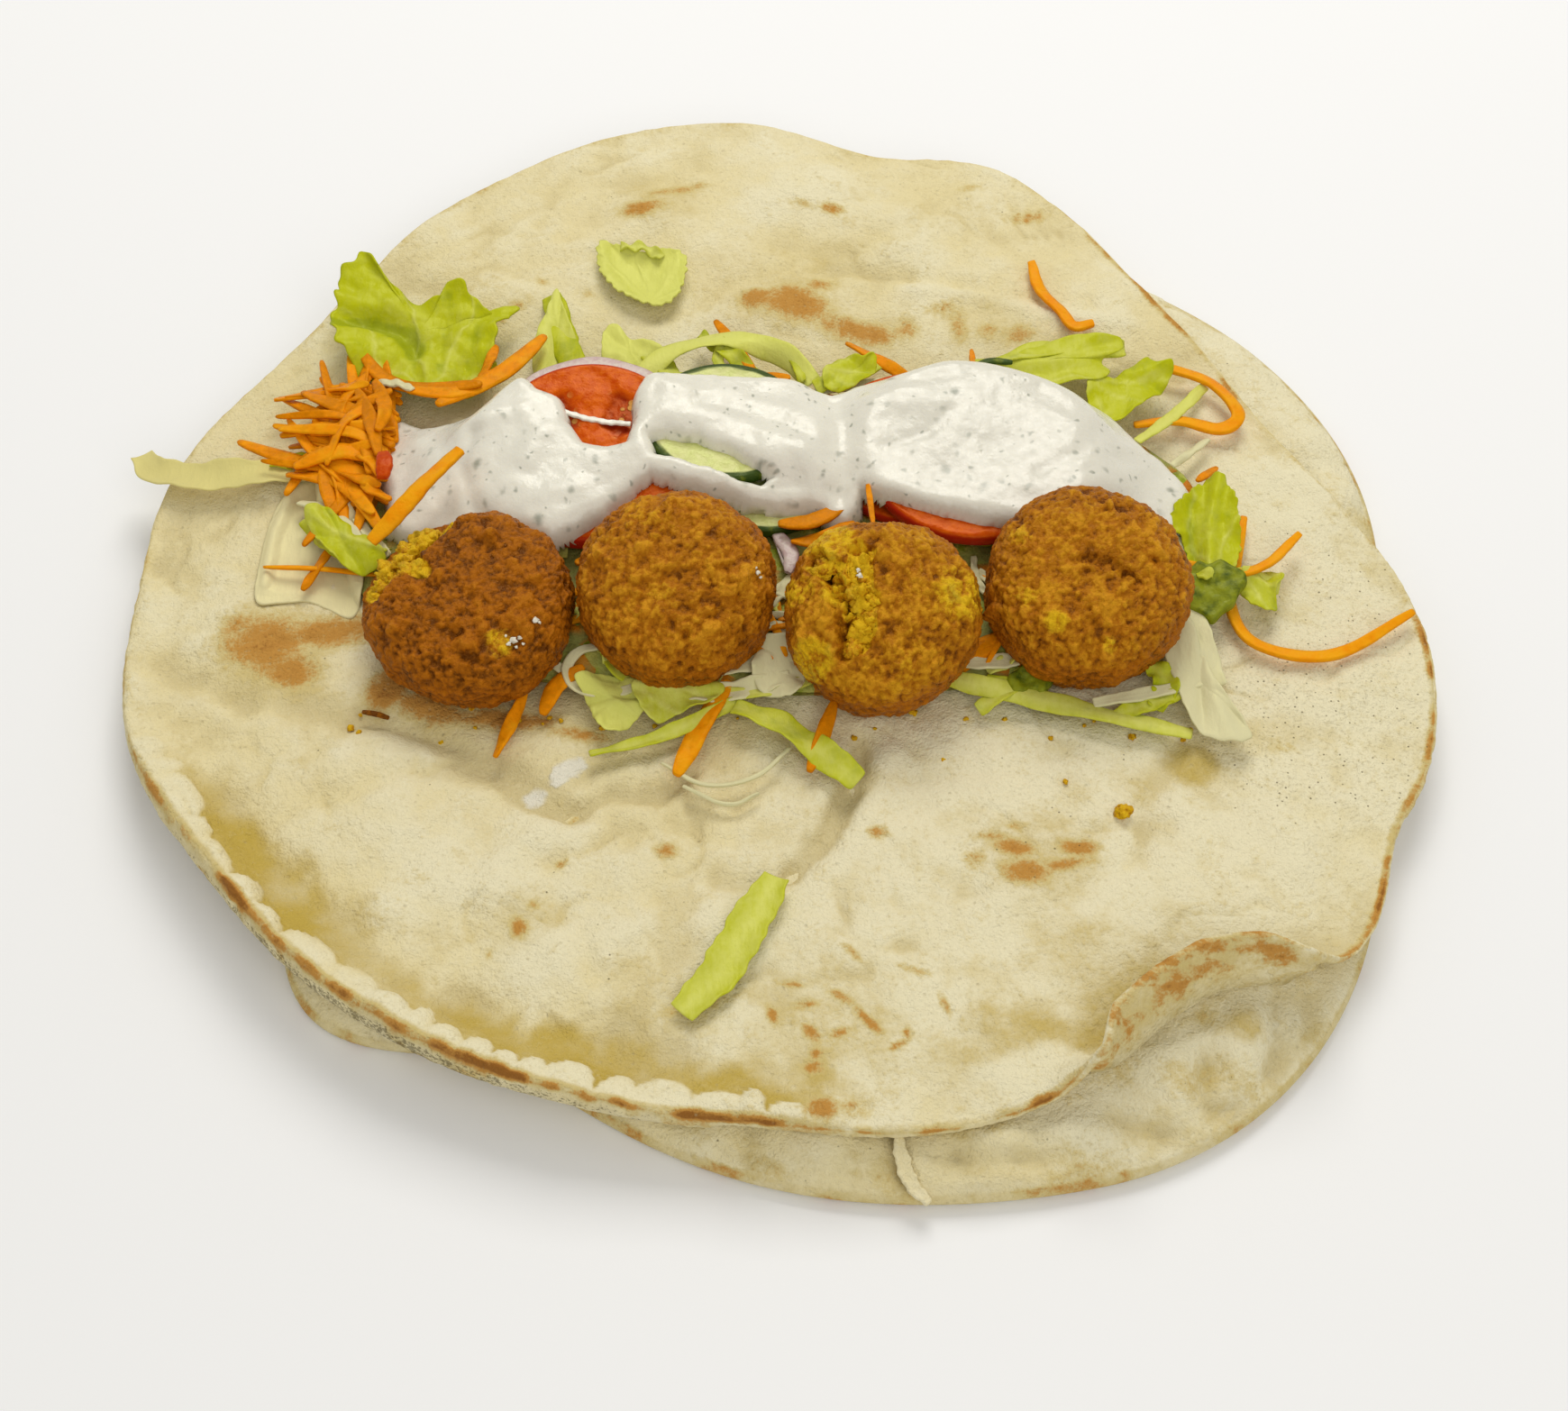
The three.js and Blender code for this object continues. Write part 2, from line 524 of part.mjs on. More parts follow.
function sauceSheet() {
  const [left, right] = [SAUCE_FRONT[0][0], SAUCE_FRONT.at(-1)[0]];
  return slab(40, 7, (u, v, side) => {
    const x = lerp(left, right, lerp(u, smooth(u), 0.35));
    const y = lerp(edgeAt(SAUCE_FRONT, x), edgeAt(SAUCE_BACK, x), v);
    const inner = arch(min(v, 1 - v) * 3) * arch(min(u, 1 - u) * 14);
    const swirl = SAUCE.swirl * sin(x / 6 + y / 9) * sin(y / 5);
    const thick = lerp(SAUCE.lip, SAUCE.thick + swirl, inner);
    const below = underSauce(x, y) + SAUCE.clear;
    return [x, y, side > 0 ? below + thick : below];
  });
}

function cucumberWindow() {
  const { at, half, turn } = CUCUMBER_WINDOW;
  const hole = new THREE.CylinderGeometry(1, 1, 30, 16).rotateX(PI / 2).scale(half[0], half[1], 1);
  return solid(sculpt(hole.rotateZ(radians(turn)).translate(at[0], at[1], 30), () => {}));
}

// --- The wrap ------------------------------------------------------------------------------------

const wrap = new THREE.Group();
const room = []; // the space that the pieces laid so far take, with the gap round them

// Lays a piece where the earlier ones leave it room. `space` is a simpler shape that later pieces
// keep clear of.
function lay(name, geometry, look, space = geometry) {
  wrap.add(meshOf(name, largest(carve(solid(geometry), room)), look));
  room.push(solid(swollen(space)));
}

lay('bread_lower', lowerBread(), BREAD);
room.length = 0;
lay('bread_upper', upperBread(), BREAD);

FALAFELS.forEach((spec, i) => {
  const space = falafel({ ...spec, across: spec.across + 1.5, thick: spec.thick + 1.5 }, i + 5, 2);
  lay(`falafel_${i + 1}`, falafel(spec, i + 5), CRUST, space);
});

for (const [name, spec] of Object.entries({ ...SLICES, ...SMALL_PIECES })) {
  lay(name, slice(spec), name.startsWith('tomato') ? TOMATO : CUCUMBER);
}
for (const [name, spec] of Object.entries(ONIONS)) lay(name, onionPiece(spec), ONION);

lay('carrot_shred_on_sauce', shred(CARROT_ON_SAUCE, CARROT_THICK), CARROT);
for (const [name, spec] of Object.entries(LOOSE_CARROTS)) {
  lay(name, curledShred(spec, CARROT_THICK, 3 * spec.path.length - 2), CARROT);
}
Object.entries(LEAVES).forEach(([name, spec], i) => {
  lay(name, leaf(spec, i + 40), name.startsWith('pale') ? PALE_GREEN : GREEN);
});
lay('lettuce_strip_left', shred(LETTUCE_STRIP_LEFT, LETTUCE_THICK, 8), PALE_GREEN);
lay('lettuce_strip_front', shred(LETTUCE_STRIP_FRONT, LETTUCE_THICK, 6), GREEN);

// The heap and the carrot bundle are bare cores first, so that the sauce is fitted to them. Their
// shreds are then cut by everything else and fused on.
const heap = heapCore(HEAP, 34, 1.2, 21);
const bundle = heapCore(CARROT_BUNDLE, 14, 1, 22);
const bundleBody = carve(solid(bundle), room);
const heapBody = carve(solid(heap), [...room, solid(swollen(bundle))]);

const sauceRoom = [...room, solid(swollen(heap)), solid(swollen(bundle)), cucumberWindow()];
const sauce = sauceSheet();
wrap.add(meshOf('yogurt_sauce', largest(carve(solid(sauce), sauceRoom)), SAUCE_WHITE));
room.push(solid(swollen(sauce)));

const fused = (core, shreds, others) =>
  largest(join(core, shreds.map((piece) => carve(solid(piece), others))));

const bundleShreds = BUNDLE_SHREDS.map((spec) => shred(spec, CARROT_THICK));
const heapShreds = [
  ...HEAP_CARROTS.map((spec) => shred(spec, CARROT_THICK)),
  ...HEAP_LETTUCE.map((spec) => shred(spec, LETTUCE_THICK, 4)),
  ...HEAP_CABBAGE.map((spec) => shred(spec, CABBAGE_THICK)),
];
const bundleWhole = fused(bundleBody, bundleShreds, [...room, solid(swollen(heap))]);
const bundleRoom = [bundle, ...bundleShreds].map((piece) => solid(swollen(piece)));
wrap.add(meshOf('carrot_bundle_left', bundleWhole, CARROT));
wrap.add(meshOf('salad_heap', fused(heapBody, heapShreds, [...room, ...bundleRoom]), PALE_GREEN));

export default wrap;
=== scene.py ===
"""Open falafel wrap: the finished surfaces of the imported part, and its studio.

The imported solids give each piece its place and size. Here every one of them is modelled again as
the real food: two flatbreads, four falafels, sliced vegetables, shreds, leaves and yogurt sauce.
Shapes are worked out in millimetres and put into meshes in metres. Angles are degrees from +X
towards +Y, seen from above.
"""
import math
import random

import bpy
import numpy as np
from bpy.props import FloatProperty, FloatVectorProperty, IntProperty, PointerProperty
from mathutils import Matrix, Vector, noise


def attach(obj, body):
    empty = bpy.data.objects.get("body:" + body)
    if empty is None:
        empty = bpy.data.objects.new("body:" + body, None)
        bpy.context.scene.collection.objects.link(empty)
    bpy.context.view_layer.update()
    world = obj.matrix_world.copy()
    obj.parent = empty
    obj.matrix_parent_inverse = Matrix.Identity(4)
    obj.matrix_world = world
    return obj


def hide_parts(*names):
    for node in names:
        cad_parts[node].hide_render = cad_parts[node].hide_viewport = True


bl_info = {
    "name": "Open falafel wrap",
    "version": (1, 0, 0),
    "blender": (4, 5, 0),
    "location": "3D View > Sidebar > Wrap",
    "description": "Models an open falafel wrap over its packed solids",
    "category": "Object",
}

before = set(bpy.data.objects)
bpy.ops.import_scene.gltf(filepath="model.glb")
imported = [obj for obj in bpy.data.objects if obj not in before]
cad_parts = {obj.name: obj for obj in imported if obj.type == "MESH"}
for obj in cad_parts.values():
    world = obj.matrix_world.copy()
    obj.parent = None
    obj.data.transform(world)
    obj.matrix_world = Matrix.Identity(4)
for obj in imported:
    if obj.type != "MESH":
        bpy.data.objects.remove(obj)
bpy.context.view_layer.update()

MM = 0.001  # metres in a millimetre
SEAM = 2e-6  # vertices nearer than this, in metres, are one

# ==== Sizes, in millimetres and degrees ====

# The lower bread, and lobes of its outline: angle, width, extra radius.
LOWER = {"radius": 138, "top": 10.5, "edge": 3.4, "round": 22, "puff": 14}
LOWER_LOBES = [(301, 106, 36), (262, 60, 10), (231, 34, 18), (14, 74, 7), (56, 50, -4)]
LOWER_FOLDS = [  # path, half width, depth
    ([(89, -134), (87, -142), (91, -145), (97, -145)], 2.6, 1.3),
    ([(69, -147), (74, -149), (80, -151)], 2.4, 1),
    ([(105, -119), (105, -129), (103, -137)], 2.8, 1.2),
    ([(78, -134), (88, -131), (97, -135)], 4, -1),
    ([(35, -157), (54, -156), (64, -154)], 2.6, 0.8),
    ([(-6, -150), (-6, -155), (-8, -159)], 1.6, 0.8),
    ([(23, -150), (23, -157), (25, -162)], 1.8, 1.1),
    ([(36, -150), (36, -156)], 1.4, 0.6),
    ([(112, -118), (111, -128)], 2.4, 0.8),
]
LOWER_PUFFS = [(97, -127, 9, 1.6), (84, -141, 8, 1.2), (62, -152, 10, 1), (108, -126, 6, 1),
               (44, -153, 9, 0.8), (10, -153, 8, 0.7), (136, 22, 10, 1.2), (129, 38, 9, 1)]
LOWER_MESH = {"sectors": 420, "rings": 90, "top": 66, "wall": 7}
LOWER_RIM = {"puffed": (302, 90), "toasted": (20, 60), "sooty": (270, 90)}  # angle and width
LOWER_SHOWN = {"from": 118, "over": 12}  # the lower bread shows outside this radius
LOWER_GOLD = [(97, -127, 5, 0.7), (90, -141, 8, 0.3), (72, -147, 9, 0.3), (20, -154, 8, 0.25),
              (-75, -119, 9, 0.6)]
# The first spot is painted light, whiter dough where the upper bread's lip shades the lower one; the
# second is flour.
LOWER_FLOUR_AND_LIGHT = [(104, -108, 58, 1.5), (118, 58, 44, 1.3)]

# The upper bread: a sheet with a puffed rim at the front left and a lip rolled up at the right.
UPPER_MESH = {"sectors": 640, "rings": 124, "top": 104, "wall": 8}
UPPER = {"radius": 151, "sheet": 3.2, "droop": 2.6, "clear": 0.4, "clear_rim": 0.9}
UPPER_LOBES = [
    (33, 90, -26), (12, 50, -7), (80, 30, -8), (102, 50, 5), (148, 56, -10), (200, 40, 5),
    (230, 80, 3), (283, 36, 4.5), (304, 26, -6), (319, 26, 11), (336, 40, 6),
]
DENSE_FRONT = ([0, 0.26, 0.80, 1], [0, 182, 330, 360])  # share of the sectors against angle
# Parts of the rim: each "at" is an angle and a width.
PUFFED_RIM = {"at": (229, 112), "rise": 7, "reach": 17}
SCALLOPS = {"first": 186, "length": 250, "widths": (5, 15), "reach": (3.4, 7.6), "rise": (1.1, 2.7)}
GOLDEN_BAND = {"at": (240, 96), "reach": 25, "ragged": 9}
ROLLED_LIP = {"at": (304.2, 34), "reach": 15.5, "bend": 0.5, "turn": 126, "outset": 4.6,
              "outset_at": (304.2, 51)}
# Along the wall stretch the bread's edge is darkened, a painted shade.
RIM = {  # what else lies where along the rim
    "thick": (229, 150), "lip_gold": (297, 56), "lip_dots": (303, 20), "lip_soot": (305, 20),
    "crest": (262, 230), "wall": (236, 150),
}
BROWNED_RIM = [(335, 52, 1), (281, 40, 0.8), (38, 44, 0.7)]  # angle, width, strength
LIP_STREAKS = {"turn": -0.8, "scale": (0.4, 1, 1), "grain": 3.4}  # across the lip, in radians
PUFFS = [  # x, y, radius, height
    (-83, -76, 20, 2.6), (-64, -95, 18, 2.2), (-47, -113, 18, 1.8), (55, -99, 26, 2),
    (0, 81, 22, 2), (54, 91, 18, 1.6), (-71, 81, 20, 1.4), (-94, 107, 18, 1.2), (86, 84, 20, 1.2),
    (3, 128, 20, 1.4), (-35, 118, 16, 1.4), (31, 107, 16, 1.4), (125, -40, 24, 1.4),
    (-130, -20, 18, 1.4), (-127, -65, 11, 1.4), (-107, -80, 12, 1.4), (-30, -88, 12, 1.3),
    (-33, -104, 9, 1.1), (28, -84, 12, 1.1), (14, -112, 14, 1), (108, -84, 14, 1),
    (52, 73, 9, 0.8), (-52, 104, 12, 0.8), (70, 104, 12, 0.9), (100, 72, 10, 0.8),
    (-84, -100, 9, 1.2), (-12, -134, 14, 1), (44, -128, 12, 0.9), (-114, 84, 10, 0.7),
    (-98, -66, 9, 1), (-55, -78, 8, 1), (-14, -104, 10, 0.9), (70, -112, 12, 0.9),
]
FOLDS = [  # path, half width, depth; a negative depth is a ridge
    ([(-142, -34), (-124, -44), (-108, -47), (-96, -49)], 4, 1.4),
    ([(-140, -42), (-122, -51), (-104, -54)], 4.5, -0.7),
    ([(-91, -51), (-77, -56), (-69, -60), (-60, -65), (-53, -73), (-46, -76)], 3.4, 2.2),
    ([(-98, -60), (-80, -62), (-68, -68)], 4.5, -1),
    ([(-115, -81), (-105, -73), (-86, -66), (-74, -64), (-66, -67)], 2.8, 1.2),
    ([(-73, -62), (-65, -64), (-60, -71), (-51, -75)], 2.2, 1),
    ([(-47, -76), (-38, -70), (-27, -71), (-22, -66), (-20, -65)], 1.7, 1.6),
    ([(-44, -81), (-36, -76), (-26, -76)], 2.6, -0.9),
    ([(-40, -66), (-30, -64), (-22, -60)], 2.4, -0.8),
    ([(-65, -96), (-61, -87), (-50, -81)], 4, -1.3),
    ([(-67, -122), (-66, -96), (-64, -85)], 4, 1.3),
    ([(18, -56), (17, -62), (12, -77), (8, -85), (2, -91)], 2.6, 2.7),
    ([(25, -60), (19, -76), (14, -88)], 4, -1.3),
    ([(2, -91), (-4, -94), (-14, -93)], 2.6, 1.3),
    ([(-10, -118), (-6, -117), (-2, -115)], 1.6, 0.8),
    ([(29, -67), (53, -63), (66, -58)], 2.2, 0.9),
    ([(86, -62), (80, -74), (78, -86)], 2.8, 1.1),
    ([(92, -60), (88, -72), (90, -84)], 3, -0.7),
    ([(-37, -113), (-33, -108), (-29, -105)], 3.5, -1),
    ([(-50, -98), (-44, -104), (-40, -118)], 3, 0.9),
    ([(-24, -78), (-14, -84), (-4, -84)], 2.2, 0.8),
    ([(-96, -92), (-84, -88), (-76, -80)], 3, 0.9),
    ([(43, -111), (58, -101), (67, -94), (75, -89), (83, -78)], 3.6, 0.9),
    ([(31, 87), (42, 87), (61, 80), (77, 76), (92, 75)], 2.8, -1.2),
    ([(33, 92), (60, 86), (80, 81)], 2.2, 0.9),
    ([(-20, 82), (-16, 87), (-11, 91), (0, 94), (17, 95), (33, 94)], 2.6, 1.3),
    ([(17, 102), (25, 105), (33, 110)], 3, 0.9),
    ([(-64, 112), (-61, 123), (-58, 132)], 2.4, 1),
    ([(-81, 101), (-77, 109), (-67, 119)], 2.4, 1),
    ([(-100, 88), (-82, 91)], 2, 0.6),
    ([(-122, 67), (-123, 57), (-120, 46)], 2.2, 0.9),
    ([(-114, 70), (-113, 58), (-110, 50)], 2.2, 0.6),
    ([(101, 62), (108, 52), (114, 44), (121, 30)], 3, 1),
    ([(-128, -66), (-122, -78), (-113, -90)], 3.2, 1.1),
]
DIMPLES = [(-50, -89, 3.5, 1.4), (-38, -78, 4, 1.5), (-33, -83, 3, 1), (40, -95, 4, 0.7),
           (-18, -80, 3, 0.9), (60, -76, 4, 0.7), (-104, -55, 6, 0.9), (34, 92, 3, 0.6)]
FLOURED = [(62, -96, 62, 0.9), (122, -24, 52, 1.25), (0, -128, 40, 0.7), (112, 34, 26, 0.9),
           (-52, -100, 34, 0.3)]
BREAD_MIDDLE = (8, -9)
BREAD_MARKS = ("toast", "gold", "flour", "soot", "smear", "high", "lip", "wall")

# Toasted patches: x, y, half length, half width, turn, strength.
TOASTED = [
    (-119, -28, 10, 8, -8, 1.02), (-105, -25, 11, 4.6, 6, 0.95), (-113, -36, 6.5, 4.4, -10, 1),
    (-126, -25, 5, 5, 0, 0.7), (-90, -42, 6, 4.6, 60, 1.1), (-79, -47.5, 9, 3.8, -15, 1),
    (-62, -50, 11, 3.2, -5, 0.95), (-46, -54, 7, 2, -8, 0.85),
    (3, 81, 9, 6, -20, 1), (-6, 83, 4.5, 4, 0, 0.95), (10, 88, 4, 2.4, 20, 0.85),
    (20, 73, 11, 3.8, -6, 0.95), (32, 74, 3, 4, 0, 0.7), (45, 75, 2.2, 6, 0, 0.62),
    (52, 72, 3, 3.4, 0, 0.64), (60, 71, 5, 3, 10, 0.68), (41, 81, 4.5, 1.6, 20, 0.55),
    (-37, 117, 6, 3, 10, 0.9), (-28, 125, 8, 1.8, 18, 0.75), (13, 117, 3, 1.8, 0, 1),
    (7.6, 118, 1.2, 1, 0, 0.9), (4, 119, 3, 1.4, 0, 0.5), (65, 117, 5.5, 2, 20, 0.85),
    (50, 128, 3.4, 1.6, 0, 0.55), (51, -85, 4.6, 2.4, -10, 0.95), (53, -92, 5.2, 3.2, 0, 1),
    (65, -85, 4, 2, 0, 0.95), (61, -90, 6, 1.4, 15, 0.85), (42, -88, 2.2, 2.6, 0, 0.6),
    (46, -82, 4.5, 0.9, 0, 0.6), (52, -79, 2.4, 1, 0, 0.6), (8, -149, 3.4, 2.6, 0, 0.85),
    (15, -149, 3.2, 2.6, 0, 0.55), (21, -81, 2, 1.6, 0, 0.85), (-25, -86, 2.6, 2, 0, 0.85),
    (-48, -89, 1.4, 1.2, 0, 0.8), (-56, -106, 1.8, 3, 20, 0.85), (-53, -100, 1.4, 1, 0, 0.6),
    (-62, -112, 0.8, 1.4, 0, 0.7), (-6, -96, 1.4, 1, 0, 0.7), (2, -119, 3, 0.9, -10, 0.8),
    (5, -124, 3, 1, 5, 0.85), (-2, -127, 1.2, 2.4, 20, 0.85), (6, -131, 1.4, 2.6, 40, 0.9),
    (12, -131, 2.4, 1, 25, 0.9), (12, -122, 3.2, 1, -30, 0.85), (18, -128, 4, 1.1, -50, 0.95),
    (7, -136, 1.2, 1.4, 0, 0.9), (6, -139, 2.6, 1.6, 0, 0.85), (26, -131, 0.9, 1.6, 0, 0.9),
    (24, -134, 2.2, 0.8, 30, 1), (15, -112, 2.8, 1, -45, 0.75), (28, -116, 3.4, 0.8, -20, 0.7),
    (34, -124, 0.9, 3, 20, 0.7), (-17, -124, 8, 1.6, 15, 0.5), (-94, 74, 3, 2.6, 0, 0.7),
    (-68, 80, 2, 1.8, 0, 0.8), (-72, 76, 1.8, 1.6, 0, 0.75), (-62, 90, 1.8, 1.2, 0, 0.7),
    (-50, 86, 1.4, 1.4, 0, 0.6), (112, -58, 3, 2, 0, 0.3),
]
# Golden, greasy or thinner places: x, y, radius, strength.
GOLDEN = [(92, -63, 7, 0.8), (79, -70, 6, 0.4), (64, -70, 6, 0.35), (-104, -52, 8, 0.25),
          (0, 84, 24, 0.4), (52, 74, 15, 0.4), (56, -88, 16, 0.45), (-116, -29, 20, 0.4),
          (-20, -126, 10, 0.35), (-55, -104, 10, 0.45), (-80, 96, 14, 0.25), (20, 112, 22, 0.25),
          (-32, 121, 13, 0.45), (-30, -120, 9, 0.4), (46, 118, 16, 0.25), (12, 62, 16, 0.25),
          (10, -128, 22, 0.35), (-70, 78, 12, 0.4), (62, -112, 14, 0.4), (-76, -46, 16, 0.35)]
SOOTY = [(122, -50, 32, 1), (132, -18, 26, 0.75), (60, -74, 24, 0.35), (112, -70, 5, 1.5),
         (134, -58, 3.5, 1.6), (107, -58, 4.5, 1.6), (-50, -106, 22, 0.2), (-44, 123, 2.6, 1.4)]
# The heap of salad, and the bundle of carrot at its left end.
HEAP = {"middle": (0, 2), "half": (103, 47), "bottom": 15.3, "top": 21, "box": 2.6}
BUNDLE = {"middle": (-104, 27), "half": (9, 26), "bottom": 15.3, "top": 21.5, "box": 2}

# Falafels: centre, diameter, thickness, lean towards -Y, and what marks each crust. A wound is a
# path on the face with its width, depth and how golden it is; a lump is x, y, radius, height.
FALAFELS = [
    {"at": (-71, -27.5, 26), "across": 48, "thick": 20, "lean": 8, "tint": -0.55,
     "wounds": [([(-24, 5), (-20, 12), (-14, 16), (-10, 21)], 14, 4.2, 1),
                ([(-14, 8), (-10, 4)], 5, 2.2, 0.9)],
     "lumps": [(4.3, 13.6, 2.8, 2.2), (-14, -8.5, 2.2, 1.4), (0.8, -14.5, 3.4, 1.5), (9, -8, 2.2, 1),
               (-6, 3, 3, 0.8), (14, 3, 2.6, 0.8)],
     "gold": [(8, -14, 4, 0.7), (-18, 10, 8, 0.9)]},
    {"at": (-24, -24.6, 29), "across": 45.5, "thick": 26, "lean": 23, "tint": 0.45,
     "wounds": [], "lumps": [(12, -4, 2.4, 1.1), (8, 3, 2, 0.9), (-4, -8, 3, 0.9), (-9, 5, 3.4, 0.8)],
     "gold": [(-8, 12, 9, 0.25), (-2, -5, 7, 0.25), (6, 6, 7, 0.2)]},
    {"at": (22.5, -32.6, 29.2), "across": 44.5, "thick": 26, "lean": 25, "tint": 0.75,
     "wounds": [([(-15, 11), (-11, 4.5), (-8.6, -2), (-8.4, -11)], 3, 4.6, 0.1),
                ([(-5, 12), (-4.6, 4), (-5.2, -9)], 6.5, 2.6, 1),
                ([(-16, 9), (-10.5, 9.5)], 3.2, 2.6, 0.8)],
     "lumps": [(-14, -3, 8, 1.6), (-4.4, 11, 2.4, 2.2), (-6, -6, 1.8, 2), (-5.2, 3.4, 1.8, 2.2),
               (1.4, 6, 3, 0.9), (10, 3, 1.5, 0.6)],
     "gold": [(-12, 16, 7, 0.75), (-16, -12, 6, 0.75), (17, 3, 8, 0.6), (-19, 4, 5, 0.6),
              (-10, 4, 5, 0.8), (4, -14, 6, 0.3)]},
    {"at": (69.5, -23.6, 28.8), "across": 47, "thick": 24, "lean": 19, "tint": 0.6,
     "wounds": [([(-2, 3), (6, 1), (10, -3)], 3.5, 1.4, 0.1)],
     "lumps": [(-8.4, -11.5, 3.4, 0.9), (3.5, -16.6, 2.6, 1.5), (-4, 12, 3, 0.6), (-22, -7, 1.6, 1.4)],
     "gold": [(-8.4, -12, 3.4, 0.6), (3.5, -17, 2.4, 0.6), (-15, -6, 4, 0.4), (-16, 9, 4, 0.35)]},
]
CRUST = {"box": 3, "lobes": 0.015, "bits": 30, "bit_radius": (1, 2.9), "bit_rise": (0.45, 1.15)}
# Loose crumbs in the wounds: how many for each square millimetre, their radius, and how far out.
BROKEN = {"density": 0.3, "sizes": (0.8, 2.3), "within": 0.9}

# Round slices: centre, radius, thickness and slope along X and Y. The first five lie under sauce.
SLICES = {
    "tomato_slice_left": ((-46, 18, 27.8), 25, 4, (0.02, 0.14)),
    "tomato_slice_right": ((45.5, 17, 27.8), 25.4, 3.6, (0, 0.06)),
    "tomato_slice_back": ((33, 24, 23.4), 24, 3, (0.02, 0.03)),
    "cucumber_slice_back": ((-13.6, 27.4, 28.6), 19.8, 3, (-0.04, -0.06)),
    "cucumber_slice_front": ((-4, 14.5, 24), 17.6, 2.6, (0, 0.05)),
    "cucumber_piece_right": ((99, -18, 21.6), 7.2, 3, (0.1, 0.2)),
    "cucumber_piece_low": ((56, -43.5, 18.6), 4.6, 2.4, (0, 0.25)),
}
SAUCED_SLICES = 5
PEELINGS = 10  # a slice with a smaller radius than this is all skin
GRIDS = {  # faces round or along a piece, and from its middle out or across
    "slice": (120, 88), "peeling": (56, 32), "onion": (72, 20), "core": (220, 60), "leaf": (240, 34),
    "torn leaf": (60, 8),
}
ONIONS = {  # centre, radius of the ring, first and last angle, width, height
    "onion_ring_left": ((-46, 25.8, 27.6), 21.4, (18, 154), 5, 2.8),
    "onion_piece_middle": ((-11, -11, 22.6), 13, (-14, 48), 4, 2.2),
}

# The sauce: the grid it is laid out on, its outline, and the opening that shows the cucumber.
SAUCE_GRID = {"corner": (-101, -13), "span": (203, 64), "columns": 360, "rows": 114}
SAUCE_OUTLINE = [
    (-94, 1), (-93, 6), (-94, 11), (-97, 18), (-97, 26), (-96, 33), (-97, 39), (-93, 38), (-87, 34),
    (-80, 33), (-74, 33), (-68, 36), (-63, 39), (-59, 34), (-53, 31), (-51, 24), (-47, 18),
    (-41, 16.5), (-37, 17.5), (-35, 24), (-35, 32), (-33, 37), (-28, 40), (-21, 40), (-12, 40),
    (-1, 40), (5, 40), (12, 37), (19, 40.5), (31, 42), (36, 44), (39, 46), (51, 46), (57, 46),
    (65, 46), (76, 40), (82, 33), (86, 27), (91, 22), (96, 15), (98, 9), (94, 2), (88, -5),
    (72, -8), (60, -8), (52, -5.2), (47, -3.8), (40, -2), (30, 1.4), (22, 4.8), (18.4, 6.4),
    (17.6, 1.5), (15, -1.4), (11.4, -1.2), (9.4, 2), (5, 2.4), (-7, 2.4), (-14, 4.2), (-22, 5.8),
    (-31, 9), (-36, 4), (-42, -2), (-45, -4.4), (-49, -6), (-54, -9.4), (-60, -6), (-72, -5),
    (-86, -4),
]
SAUCE_OPENING = [(-31.5, 19), (-28, 20.8), (-20, 19.4), (-11, 15), (-2, 8.6), (-5, 6.6),
                 (-11, 7), (-19, 9.8), (-25, 12), (-30, 13.6)]
SAUCE_MARKS = [  # path, half width, depth of a groove
    ([(-27, 10), (-14, 8), (2, 6.6)], 3.4, 1.2),
    ([(-73, 21), (-75.5, 14), (-73, 4), (-68, -4)], 2.2, 1.3),
    ([(-70, 24), (-62, 26), (-57, 20), (-60, 12)], 3.4, -1.1),
    ([(-88, 26), (-84, 16), (-86, 6)], 3.6, -0.9),
    ([(-80, 24), (-78, 12), (-80, 2)], 3, 0.5),
    ([(-64, 6), (-56, 2), (-48, 4)], 3, -0.7),
    ([(13, 32), (14, 22), (15, 14), (14, 6)], 4, 1.3),
    ([(-26, 33), (-12, 31), (2, 27), (9, 20)], 3.4, -0.5),
    ([(-28, 26), (-14, 24), (0, 17), (10, 9)], 3, -0.6),
    ([(-20, 29), (-6, 27), (6, 19)], 1.8, 0.25),
    ([(62, 34), (72, 26), (80, 16)], 3.5, 0.7),
    ([(60, 8), (70, 14), (76, 24)], 2.4, 0.5),
    ([(66, 2), (78, 8), (86, 16)], 3.2, -0.7),
    ([(22, 33), (34, 36), (44, 40)], 2.2, 0.5),
    ([(24, 16), (34, 20), (40, 26)], 2, 0.45),
    ([(34, 6), (46, 12), (58, 22), (62, 34)], 5.4, 0.45),
    ([(24, 30), (38, 30), (52, 34)], 4.6, -0.4),
]
# Herbs in the sauce: distance apart, radius as a share of it, how many of them, strength.
SAUCE_FLECKS = [(4.4, 0.3, 0.4, 0.5), (2.8, 0.32, 0.3, 0.7), (8.5, 0.22, 0.6, 0.75),
                (1.7, 0.34, 0.2, 0.75)]
HERB_WARP = {"scale": 230, "reach": 0.0042}  # bends the herbs out of round, in metres
# Painted shade on the sauce's right lobe, where its yogurt is greyed.
SHADED_SAUCE = [(52, 20, 30, 0.9), (74, 14, 20, 0.8)]  # x, y, radius, strength
